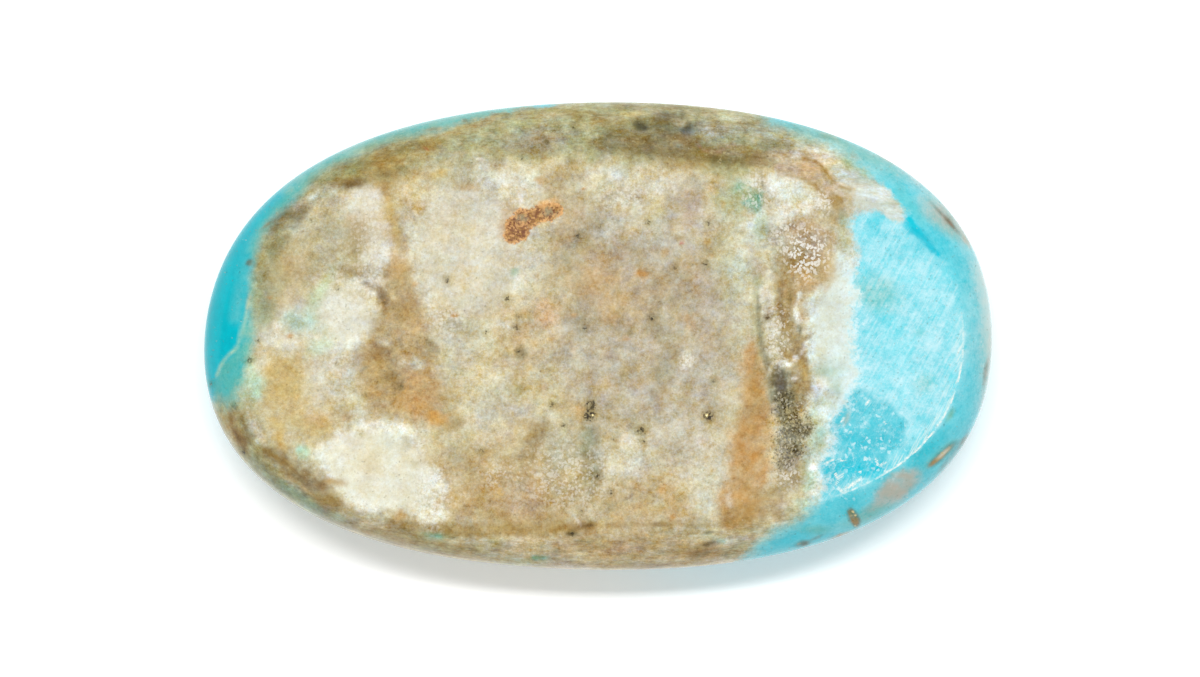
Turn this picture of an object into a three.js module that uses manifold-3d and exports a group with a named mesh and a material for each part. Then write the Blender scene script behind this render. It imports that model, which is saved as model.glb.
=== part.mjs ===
// A polished oval turquoise stone: a low dome on one side, a flat lapped back on the other, and a rounded bevel
// between the back and the girdle. It lies on its dome with the back up, as it would before it is set.
// Millimetres, +Z up. +X runs along the stone, and the origin is under its middle, on the surface it rests on.
import * as THREE from "three";
import { mergeVertices } from "three/addons/utils/BufferGeometryUtils.js";
import Module from "manifold-3d";

// Driving dimensions
const LENGTH = 32;
const WIDTH = 19;
const THICKNESS = 7;
const GIRDLE_HEIGHT = 4.6;

// Outlines seen from above. A point at an angle stands off the centre by the half length and half width, times
// mean plus a few waves, each a [cosine, sine] pair for 1, 2, 3 and more waves round the outline.
const GIRDLE = {
  centre: [0, 0],
  halfLength: LENGTH / 2,
  halfWidth: WIDTH / 2,
  mean: 1.021,
  waves: [[0.007, -0.006], [-0.001, 0.005], [-0.005, -0.006], [-0.024, 0.002]],
};
const FLAT_BACK = {
  centre: [0.65, -0.35],
  halfLength: 14.3,
  halfWidth: 7.5,
  mean: 1.029,
  waves: [[-0.021, -0.019], [-0.005, 0.017], [0.028, -0.005], [-0.042, 0.006]],
};

// The bevel starts at the back's edge with a slope that is crisp at one end of the stone and soft at the other.
const CREASE_SLOPE = 0.34;
const CREASE_SWING = 0.22;
const CRISPEST_ANGLE = THREE.MathUtils.degToRad(-20);
const STRAIGHT_SHARE_OF_FALL = 0.8;

// The dome is a little fuller than an ellipse, and its crown is worn flat where it rests.
const DOME_FULLNESS = 2.3;
const CROWN = [0.4, 0];
const WORN_SHARE = 0.2;

// How finely the stone is faceted
const STEPS_ROUND = 104;
const BACK_RINGS = 2;
const BEVEL_RINGS = 8;
const DOME_RINGS = 13;
const BALL_STEPS_ROUND = 16;
const BALL_STEPS_DOWN = 8;
const SAME_POINT = 1e-4;

// Hollows that lapping left in the back and the bevel: [x, y, length, width, turn in degrees, depth], each the
// lower half of a flattened ball. A hollow on the bevel ends with its seat, how far below the back it lies.
const RUST_POCKET = [
  [-3.25, 4.22, 1.05, 1.15, 0, 0.14],
  [-2.2, 4.95, 1.75, 0.85, 12, 0.11],
];
const OPEN_SEAM = [
  [7.3, -1.35, 2.3, 0.85, 84, 0.12],
  [7.62, -3.0, 2.1, 1.05, 100, 0.2],
  [7.4, -4.7, 2.3, 0.95, 80, 0.15],
];
const SUGARY_HOLLOW = [[8.1, 3.2, 2.3, 1.5, 60, 0.07]];
const ORE_POCKETS = [
  [-0.35, -2.8, 0.62, 0.38, 80, 0.12],
  [1.8, -3.98, 0.66, 0.4, 75, 0.1],
  [-3.15, -0.68, 0.5, 0.46, 0, 0.08],
  [4.46, -3.2, 0.42, 0.36, 0, 0.08],
];
const EDGE_NICKS = [[-0.75, -7.72, 1.9, 0.34, 16, 0.13]];
const BEVEL_POCKETS = [
  [1.7, 8.42, 1.1, 0.7, 10, 0.16, 0.95],
  [3.4, 8.45, 1.3, 0.7, -8, 0.18, 1.02],
];

function outlinePoint(outline, angle) {
  const reach = outline.waves.reduce(
    (sum, [cosine, sine], i) => sum + cosine * Math.cos((i + 1) * angle) + sine * Math.sin((i + 1) * angle),
    outline.mean,
  );
  return new THREE.Vector2(
    outline.centre[0] + outline.halfLength * reach * Math.cos(angle),
    outline.centre[1] + outline.halfWidth * reach * Math.sin(angle),
  );
}

// A point of the bevel, share of the way out from the back's edge to the girdle. It falls by a straight slope
// plus a quarter ellipse, so that it meets the girdle upright.
function bevelPoint(angle, share) {
  const inner = outlinePoint(FLAT_BACK, angle);
  const outer = outlinePoint(GIRDLE, angle);
  const fall = THICKNESS - GIRDLE_HEIGHT;
  const slope = CREASE_SLOPE + CREASE_SWING * Math.cos(angle - CRISPEST_ANGLE);
  const straight = Math.min(slope * inner.distanceTo(outer), fall * STRAIGHT_SHARE_OF_FALL);
  const height = THICKNESS - straight * share - (fall - straight) * (1 - Math.sqrt(1 - share * share));
  const { x, y } = inner.lerp(outer, share);
  return new THREE.Vector3(x, y, height);
}

// A point of the dome, share of the way out from the crown to the girdle.
function domePoint(angle, share) {
  const rise = (s) => 1 - Math.sqrt(Math.max(0, 1 - s ** DOME_FULLNESS));
  const worn = rise(WORN_SHARE);
  const height = GIRDLE_HEIGHT * Math.max(0, (rise(share) - worn) / (1 - worn));
  const { x, y } = new THREE.Vector2(...CROWN).lerp(outlinePoint(GIRDLE, angle), share);
  return new THREE.Vector3(x, y, height);
}

// Every ring of points from the middle of the back, over the bevel and the girdle, to the crown.
function ringsOfStone() {
  const angles = Array.from({ length: STEPS_ROUND }, (_, i) => (2 * Math.PI * i) / STEPS_ROUND);
  const middle = new THREE.Vector2(...FLAT_BACK.centre);
  const rings = [];
  for (let i = 1; i <= BACK_RINGS; i++) {
    rings.push(angles.map((angle) => {
      const { x, y } = middle.clone().lerp(outlinePoint(FLAT_BACK, angle), i / BACK_RINGS);
      return new THREE.Vector3(x, y, THICKNESS);
    }));
  }
  for (let i = 1; i <= BEVEL_RINGS; i++) {
    const share = Math.sin((Math.PI / 2) * (i / BEVEL_RINGS));
    rings.push(angles.map((angle) => bevelPoint(angle, share)));
  }
  const lastTurn = Math.acos(WORN_SHARE);
  for (let i = 1; i <= DOME_RINGS; i++) {
    const share = Math.cos(lastTurn * (i / DOME_RINGS));
    rings.push(angles.map((angle) => domePoint(angle, share)));
  }
  return rings;
}

// The closed surface through the rings, with a point in the middle of the back and one at the crown.
function stoneGeometry() {
  const rings = ringsOfStone();
  const points = [new THREE.Vector3(...FLAT_BACK.centre, THICKNESS), ...rings.flat(), new THREE.Vector3(...CROWN, 0)];
  const last = points.length - 1;
  const at = (ring, step) => 1 + ring * STEPS_ROUND + (step % STEPS_ROUND);
  const faces = [];
  for (let step = 0; step < STEPS_ROUND; step++) {
    faces.push(0, at(0, step), at(0, step + 1));
    for (let ring = 0; ring < rings.length - 1; ring++) {
      faces.push(at(ring, step), at(ring + 1, step), at(ring + 1, step + 1));
      faces.push(at(ring, step), at(ring + 1, step + 1), at(ring, step + 1));
    }
    faces.push(at(rings.length - 1, step), last, at(rings.length - 1, step + 1));
  }
  const geometry = new THREE.BufferGeometry().setFromPoints(points);
  geometry.setIndex(faces);
  return geometry;
}

// A flattened ball whose lower half makes one hollow.
function hollowGeometry([x, y, length, width, turn, depth, seat = 0]) {
  const ball = new THREE.SphereGeometry(1, BALL_STEPS_ROUND, BALL_STEPS_DOWN);
  ball.rotateX(Math.PI / 2);
  ball.scale(length / 2, width / 2, depth);
  ball.rotateZ(THREE.MathUtils.degToRad(turn));
  ball.translate(x, y, THICKNESS - seat);
  return ball;
}

const wasm = await Module();
wasm.setup();

function solidFrom(geometry) {
  const bare = geometry.clone();
  bare.deleteAttribute("normal");
  bare.deleteAttribute("uv");
  const merged = mergeVertices(bare, SAME_POINT);
  return new wasm.Manifold(new wasm.Mesh({
    numProp: 3,
    vertProperties: merged.getAttribute("position").array,
    triVerts: new Uint32Array(merged.getIndex().array),
  }));
}

function geometryFrom(solid) {
  const { vertProperties, triVerts } = solid.getMesh();
  const geometry = new THREE.BufferGeometry();
  geometry.setAttribute("position", new THREE.BufferAttribute(vertProperties, 3));
  geometry.setIndex(new THREE.BufferAttribute(triVerts, 1));
  geometry.computeVertexNormals();
  return geometry;
}

// The waves leave the outline a hair off its length, width and middle, which this puts right.
function centredAndSized(geometry) {
  geometry.computeBoundingBox();
  const middle = geometry.boundingBox.getCenter(new THREE.Vector3());
  const size = geometry.boundingBox.getSize(new THREE.Vector3());
  geometry.translate(-middle.x, -middle.y, 0);
  geometry.scale(LENGTH / size.x, WIDTH / size.y, 1);
  return geometry;
}

function turquoiseStone() {
  const hollows = [RUST_POCKET, OPEN_SEAM, SUGARY_HOLLOW, ORE_POCKETS, EDGE_NICKS, BEVEL_POCKETS].flat();
  const body = hollows.reduce(
    (solid, hollow) => solid.subtract(solidFrom(hollowGeometry(hollow))),
    solidFrom(stoneGeometry()),
  );
  const geometry = centredAndSized(geometryFrom(body));
  const material = new THREE.MeshStandardMaterial({ color: 0x8fc4bd, roughness: 0.3, metalness: 0 });
  const stone = new THREE.Mesh(geometry, material);
  stone.name = "turquoise_stone";
  return stone;
}

const part = new THREE.Group();
part.add(turquoiseStone());
export default part;
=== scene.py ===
# A polished oval turquoise stone, seen from straight above. It lies on its dome with its flat lapped back up.
# Shapes and markings are in millimetres, with +X along the stone, and the mesh scales them to metres.
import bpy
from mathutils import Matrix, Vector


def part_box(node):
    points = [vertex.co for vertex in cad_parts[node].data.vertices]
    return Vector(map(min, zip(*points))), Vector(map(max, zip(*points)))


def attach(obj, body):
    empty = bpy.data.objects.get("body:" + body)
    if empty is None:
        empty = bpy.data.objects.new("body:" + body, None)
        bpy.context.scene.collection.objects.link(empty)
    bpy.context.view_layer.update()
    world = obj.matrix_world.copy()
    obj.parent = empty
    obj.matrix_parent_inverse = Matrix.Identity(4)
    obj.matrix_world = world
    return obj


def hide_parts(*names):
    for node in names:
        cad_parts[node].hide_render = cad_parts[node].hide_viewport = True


bl_info = {
    "name": "Polished turquoise stone",
    "version": (1, 0, 0),
    "blender": (4, 5, 0),
    "location": "3D View > Sidebar > Stone",
    "description": "Builds an oval turquoise stone in its host rock, and a pale studio around it",
    "category": "Object",
}

import math

import bpy
import numpy as np
from bpy.props import FloatProperty, FloatVectorProperty, IntProperty, PointerProperty
from mathutils import Vector

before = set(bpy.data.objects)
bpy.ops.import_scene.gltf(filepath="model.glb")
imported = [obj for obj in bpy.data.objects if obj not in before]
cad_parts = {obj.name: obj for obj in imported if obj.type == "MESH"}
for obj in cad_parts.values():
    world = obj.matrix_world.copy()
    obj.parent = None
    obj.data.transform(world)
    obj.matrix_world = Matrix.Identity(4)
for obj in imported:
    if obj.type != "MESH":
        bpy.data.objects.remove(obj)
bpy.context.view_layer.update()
STONE_LOW, STONE_HIGH = (np.array(corner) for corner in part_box("turquoise_stone"))
STONE_SIZE = STONE_HIGH - STONE_LOW
MM = 0.001

# The photograph is 1200 by 677 pixels. The stone is 788 pixels long in it, with its middle at 598, 336.
PHOTO_PIXELS = (1200, 677)
STONE_PIXELS = 788
STONE_MIDDLE = (598, 336)
PIXEL = STONE_SIZE[0] / STONE_PIXELS
FRAME_WIDTH = PHOTO_PIXELS[0] * PIXEL
CAMERA_OVER = (
    (PHOTO_PIXELS[0] / 2 - STONE_MIDDLE[0]) * PIXEL,
    (STONE_MIDDLE[1] - PHOTO_PIXELS[1] / 2) * PIXEL,
)
SENSOR_WIDTH = 36

# The studio in metres: half the floor's side, each softbox's place and size, and how far the camera sees
FLOOR_REACH = 2.0
OVERHEAD_PLACE = (0, 0, 1.3)
OVERHEAD_SIZE = (1.6, 1.6)
KEY_PLACE = (0, 0.26, 1.08)
KEY_SIZE = (0.6, 0.12)
CAMERA_SIGHT = 10

# Outlines seen from above, as a centre and half sizes in millimetres, and as waves round them. A point at an
# angle stands off the centre by the half sizes, times mean plus the waves. These are [cosine, sine] pairs for
# 1, 2, 3 and 4 waves round the outline.
GIRDLE = {
    "centre": (0.0, 0.0),
    "half": (16.0, 9.5),
    "mean": 1.021,
    "waves": [(0.007, -0.006), (-0.001, 0.005), (-0.005, -0.006), (-0.024, 0.002)],
}
FLAT_BACK = {
    "centre": (0.65, -0.35),
    "half": (14.3, 7.5),
    "mean": 1.029,
    "waves": [(-0.021, -0.019), (-0.005, 0.017), (0.028, -0.005), (-0.042, 0.006)],
}

# The bevel starts with a slope that is crisp at one end of the stone and soft at the other
CREASE_SLOPE = 0.34
CREASE_SWING = 0.22
CRISPEST_ANGLE = math.radians(-20)
STRAIGHT_SHARE_OF_FALL = 0.8

# The crown of the dome, worn flat where the stone rests
CROWN = (0.4, 0.0)
WORN_SHARE = 0.2

# The share of the bevel over which its polish comes, and how much less that is where the crease is crisp
POLISH_SHARE = 0.3
POLISH_SWING = 0.22

# Unrolling the dome: how much of its drop counts as a way outwards, and where the crown's one point goes
DROP_UNROLLED = 0.6
CROWN_UNROLLED = (40.0, 0.0)

# Fine relief in millimetres: the size of its grains, and their depth on sugar, in the seam and on the back
GRAIN_SIZE = 0.4
SUGAR_DEPTH = 0.02
SEAM_DEPTH = 0.03
LAPPED_DEPTH = 0.0015

# The change from rock to turquoise in millimetres: half its width, and how far noise moves it. The left has
# one value for most of it and one for its upper bevel, and more width where the lobe ends softly. The right
# has one value for the lapped back and one for polished stone.
LEFT_WIDTHS = (0.14, 0.3)
LEFT_WAVES = (0.5, 0.2)
SOFT_END_WIDTH = 0.4
RIGHT_WIDTHS = (0.35, 0.5)
RIGHT_WAVES = (1.0, 0.45)

# Fields of noise that markings choose from, and steps round the back's outline when distances to it are taken
NOISE_FIELDS = 5
OUTLINE_STEPS = 240

# Turns that bring the strokes of lapping, and finer ones across them, along +X
LAPPING_TURN = math.radians(-62)
CROSSING_TURN = math.radians(-50)

# Optics of the stone's surface, with less gloss than a real polish has
STONE_IOR = 1.5
STONE_SPECULAR = 0.12

# Grid of the mesh: steps along and across the back, and rings down the bevel and the dome
BACK_STEPS = (276, 146)
BEVEL_RINGS = 30
DOME_RINGS = 38


def linear(code):
    """A colour as it looks on a screen, written as six hexadecimal digits, as linear red, green and blue."""
    seen = np.array([int(code[i:i + 2], 16) for i in (0, 2, 4)]) / 255
    return tuple(np.where(seen <= 0.04045, seen / 12.92, ((seen + 0.055) / 1.055) ** 2.4))


def colour(name, description, code):
    """A colour property whose default is the colour of that code."""
    return FloatVectorProperty(name=name, description=description, default=linear(code), subtype="COLOR",
                               size=3, min=0, max=1)


class StoneShape(bpy.types.PropertyGroup):
    """Sizes of the stone."""
    length: FloatProperty(name="Length", description="Length of the stone",
                          default=STONE_SIZE[0], unit="LENGTH")
    width: FloatProperty(name="Width", description="Width of the stone",
                         default=STONE_SIZE[1], unit="LENGTH")
    thickness: FloatProperty(name="Thickness", description="From the crown of the dome to the back",
                             default=STONE_SIZE[2], unit="LENGTH")
    girdle: FloatProperty(name="Girdle height", description="Height of the widest line above the floor",
                          default=4.6 * MM, unit="LENGTH")
    fullness: FloatProperty(name="Dome fullness", description="2 is an ellipse, and more is squarer",
                            default=2.3, min=2, max=4)
    relief: FloatProperty(name="Relief", description="Depth of hollows and grains, 1 for the real depth",
                          default=1, min=0, max=2)


class StoneColours(bpy.types.PropertyGroup):
    """Colours of the minerals."""
    host: colour("Host rock", "Main body of the rock", "c1b897")
    cream: colour("Cream", "Cleanest part of the rock", "cfcab5")
    sugar: colour("Sugar white", "Sugary crystals", "dad8c3")
    grey: colour("Grey", "Greyer rock", "a79e7c")
    mist: colour("Mist", "Mauve-grey clouds in the rock", "a19586")
    smoke: colour("Smoke", "Dark grey-green rock", "7b7558")
    tan: colour("Tan", "Stained rock", "b29766")
    brown: colour("Brown", "Strongly stained rock", "94793f")
    # Crystal is also the colour of the painted highlight along the crease
    crystal: colour("Crystal", "Brightest sugary grains", "f0eee4")
    umber: colour("Umber", "Darkest brown stain", "6f552c")
    ochre: colour("Ochre", "Yellow iron stain", "bfa666")
    orange: colour("Orange", "Orange iron stain", "b68845")
    rust: colour("Rust", "Red-brown pocket", "7c452c")
    red: colour("Red", "Tiny red grains", "a63f30")
    pink: colour("Pink", "Pinkish rock", "b6a087")
    khaki: colour("Khaki", "Olive rock on the bevel", "9b9869")
    olive: colour("Olive", "Dark olive spots", "5d512c")
    # Cavity is painted shade: near black laid in the bottoms of hollows and among the seam's grains
    shadow: colour("Cavity", "Bottom of dark cavities", "17140f")
    mint: colour("Mint", "Rock tinged with green", "accaab")
    lichen: colour("Grey-green", "Grey-green rock", "93a683")
    teal: colour("Teal", "Weak turquoise in the rock", "62a68f")
    border: colour("Border", "Pale zone next to the turquoise", "ced7cc")
    crust: colour("Crust", "White crust", "c0c7bd")
    blue: colour("Blue", "Turquoise at the left end", "00b1bf")
    sky: colour("Sky", "Turquoise on the right bevel", "5fc9d6")
    bright: colour("Bright", "Deepest polished turquoise", "0bbacd")
    # Pale is paler turquoise, and along the right rim it is painted reflection of the pale surroundings
    pale: colour("Pale", "Lighter turquoise near the rim", "96d2d7")
    # Veiled turquoise holds a painted satin sheen in its colour, besides the paleness of lapping
    veiled: colour("Veiled", "Turquoise on the lapped back", "93d6e0")
    seafoam: colour("Seafoam", "Greener turquoise", "83bcb4")
    mauve: colour("Mauve", "Grey-mauve inclusion", "adb0a3")
    lagoon: colour("Lagoon", "Milky lobe at the left end", "55aea7")
    ore: colour("Ore", "Dark ore grains", "1f1916")
    deep: colour("Deep", "Turquoise where lapping left it clear", "4bbccb")
    # Pale and sheen is the white of lapping scratches, flecks and lace, and also painted sheen on the lapped
    # back
    pale_and_sheen: colour("Veil", "Lapping scratches in the turquoise", "dceff1")
    amber: colour("Amber", "Bright rim of the rust", "ebb475")
    # Gold is the brass of ore faces, painted bright where they glint
    gold: colour("Gold", "Bright faces of the ore", "d4c58f")


class StageSetup(bpy.types.PropertyGroup):
    """The pale studio."""
    floor: colour("Floor", "Colour of the floor", "f9f9f9")
    glow: FloatProperty(name="Glow", description="Light that comes up through the board", default=0.2, min=0)
    overhead: FloatProperty(name="Overhead light", description="Power of the broad softbox above",
                            default=4.2, min=0, unit="POWER")
    key: FloatProperty(name="Key light", description="Power of the lamp that throws the shadow", default=9.2,
                       min=0, unit="POWER")
    surround: FloatProperty(name="Surround", description="Brightness of the pale surroundings", default=0.35,
                            min=0, max=4)
    distance: FloatProperty(name="Camera distance", description="From the girdle to the camera",
                            default=0.6, unit="LENGTH")
    seed: IntProperty(name="Seed", description="Seed of every random pattern", default=7, min=0)


# Noise on the plane

def lattice_angle(ix, iy, seed):
    """A repeatable angle for each whole-number point: its numbers and the seed, scrambled by odd factors."""
    mixed = (ix.astype(np.int64) * 374761393 + iy.astype(np.int64) * 668265263 + seed * 97531) & 0xFFFFFFFF
    mixed = ((mixed ^ (mixed >> 13)) * 1274126177) & 0xFFFFFFFF
    mixed = mixed ^ (mixed >> 16)
    return mixed / 2 ** 32 * 2 * np.pi


def ripple(x, y, size, seed):
    """Gradient noise from -1 to 1: at each corner of a cell a slope points some way, and the four slopes are
    blended across the cell with smooth weights. Cells are size wide."""
    x, y = x / size, y / size
    ix, iy = np.floor(x), np.floor(y)
    fx, fy = x - ix, y - iy

    def ease(t):
        return t * t * t * (t * (t * 6 - 15) + 10)

    def slope(dx, dy):
        angle = lattice_angle(ix + dx, iy + dy, seed)
        return np.cos(angle) * (fx - dx) + np.sin(angle) * (fy - dy)

    wx, wy = ease(fx), ease(fy)
    near = slope(0, 0) * (1 - wx) + slope(1, 0) * wx
    far = slope(0, 1) * (1 - wx) + slope(1, 1) * wx
    return (near * (1 - wy) + far * wy) * 1.5


def rough(x, y, size, seed, octaves=4):
    """Fractal noise from about -1 to 1: ripples of size, half of it and so on, each half as strong."""
    total = sum(ripple(x, y, size / 2 ** i, seed + i) / 2 ** i for i in range(octaves))
    return total / 1.5


def smooth_step(low, high, value):
    """0 up to low, 1 from high on, and a smooth cubic between."""
    t = np.clip((value - low) / (high - low), 0, 1)
    return t * t * (3 - 2 * t)


# Markings: each is a distance in millimetres to an edge, negative inside, that turns into a soft mask

def cut_corners(points, closed, rounds=2):
    """A rounder line: of each stretch between two points, the middle half is kept, round after round."""
    points = np.array(points, float)
    for _ in range(rounds):
        following = np.roll(points, -1, axis=0) if closed else points[1:]
        first = points if closed else points[:-1]
        quarters = [first * 0.75 + following * 0.25, first * 0.25 + following * 0.75]
        cut = np.stack(quarters, axis=1).reshape(-1, 2)
        points = cut if closed else np.vstack([points[:1], cut, points[-1:]])
    return points


def distance_to_line(x, y, points, closed):
    """Distance of every place to the nearest stretch of the line, and whether the closed line is round it."""
    ends = np.roll(points, -1, axis=0) if closed else points[1:]
    starts = points if closed else points[:-1]
    nearest = np.full(x.shape, np.inf)
    inside = np.zeros(x.shape, bool)
    for (ax, ay), (bx, by) in zip(starts, ends):
        dx, dy = bx - ax, by - ay
        along = np.clip(((x - ax) * dx + (y - ay) * dy) / max(dx * dx + dy * dy, 1e-9), 0, 1)
        nearest = np.minimum(nearest, np.hypot(x - ax - along * dx, y - ay - along * dy))
        if closed and ay != by:
            crossing = ((ay > y) != (by > y)) & (x < (bx - ax) * (y - ay) / (by - ay) + ax)
            inside ^= crossing
    return nearest, inside


class Canvas:
    """Places in millimetres, with a few fields of noise that the markings on them share."""

    def __init__(self, x, y, seed):
        self.x, self.y = x, y
        self.ragged = 1.0
        self.fields = [self.new_field(40 * i, seed + 100 * i) for i in range(NOISE_FIELDS)]

    def new_field(self, shift, seed):
        """Broad, medium and fine noise for edges, and noise for mottling, from elsewhere on the plane."""
        x, y = self.x, self.y
        return (rough(x + shift, y, 1.7, seed, 3), rough(x, y + shift, 0.65, seed + 20, 3),
                rough(x - shift, y, 0.26, seed + 40, 2), rough(x, y - shift, 0.5, seed + 60, 3))

    def field(self, x, y):
        """The noise for a marking at x and y: neighbours get different noise."""
        return self.fields[int(abs(x * 7.3 + y * 13.7)) % NOISE_FIELDS]

    def raggedness(self, x, y, half):
        """Noise in millimetres that suits a marking at x and y whose half width is half."""
        broad, medium, fine, _ = self.field(x, y)
        wave = broad * min(0.3 * half, 0.45) + medium * min(0.5 * half, 0.3) + fine * min(0.45 * half, 0.14)
        return wave * self.ragged

    def mottled(self, x, y, strength, softness, distance):
        """Cover of a marking from 0 to 1: full inside, faded over its softness, and mottled."""
        share = smooth_step(softness, -softness, distance)
        return np.clip(strength * share * (1 + 0.55 * self.field(x, y)[3]), 0, 1)

    def spot(self, x, y, length, width, turn):
        """Distance to the edge of an ellipse: its stretched radius less one, times its half width."""
        turn = math.radians(turn)
        dx, dy = self.x - x, self.y - y
        along = (dx * math.cos(turn) + dy * math.sin(turn)) / (length / 2)
        across = (dy * math.cos(turn) - dx * math.sin(turn)) / (width / 2)
        half = min(length, width) / 2
        return (np.hypot(along, across) - 1) * half + self.raggedness(x, y, half)

    def area(self, points):
        """Distance to the edge of a closed line through given points."""
        away, inside = distance_to_line(self.x, self.y, cut_corners(points, True), True)
        _, medium, fine, _ = self.field(*points[0])
        return np.where(inside, -away, away) + (medium * 0.3 + fine * 0.14) * self.ragged

    def vein(self, points, width):
        """Distance to the edge of a band along an open line."""
        away, _ = distance_to_line(self.x, self.y, cut_corners(points, False), False)
        return away - width / 2 + self.raggedness(*points[0], width / 2)


# Host rock seen from above: outside this line the stone is turquoise. Points beyond the girdle are on the
# dome, which is unrolled outwards.
HOST_AREA = [
    (-1.2, 9.5), (-3.0, 9.22), (-4.2, 9.02), (-5.2, 8.75), (-6.2, 8.42), (-7.2, 8.16), (-8.2, 8.02),
    (-9.2, 7.7), (-10.0, 7.28), (-10.9, 6.88), (-11.6, 6.4), (-11.85, 5.95), (-12.3, 5.5), (-12.9, 5.05),
    (-13.4, 4.5), (-13.75, 3.7), (-14.0, 2.9), (-14.05, 2.0), (-14.1, 1.2), (-13.95, 0.5), (-13.9, -0.2),
    (-14.05, -0.9), (-14.3, -1.6), (-14.45, -2.2), (-14.8, -2.8), (-15.3, -2.6), (-16.2, -2.9), (-17.2, -4.6),
    (-17.0, -8.0), (-14.0, -10.5), (-9.0, -12.5), (-3.0, -13.5), (2.0, -12.6), (4.6, -10.6), (5.5, -9.3),
    (6.2, -8.75), (6.6, -8.35), (7.1, -7.95), (7.8, -7.6), (8.4, -7.3), (8.8, -6.75), (9.1, -6.3),
    (9.05, -5.7), (8.95, -5.2), (9.2, -4.6), (9.45, -4.0), (9.4, -3.2), (9.8, -2.75), (10.15, -2.2),
    (10.4, -1.7), (10.3, -0.8), (10.15, 0.0), (10.2, 1.0), (10.3, 2.0), (10.4, 3.0), (10.3, 4.0),
    (10.25, 4.9), (10.9, 5.05), (11.6, 4.95), (12.1, 4.6), (12.45, 4.75), (12.4, 5.15), (12.1, 5.6),
    (11.75, 6.0), (11.1, 6.4), (10.6, 6.9), (10.2, 7.3), (9.5, 7.75), (8.6, 8.15), (7.6, 8.5), (6.8, 8.75),
    (7.4, 9.8), (5.0, 11.5), (0.0, 12.0), (-1.5, 10.6),
]

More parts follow.
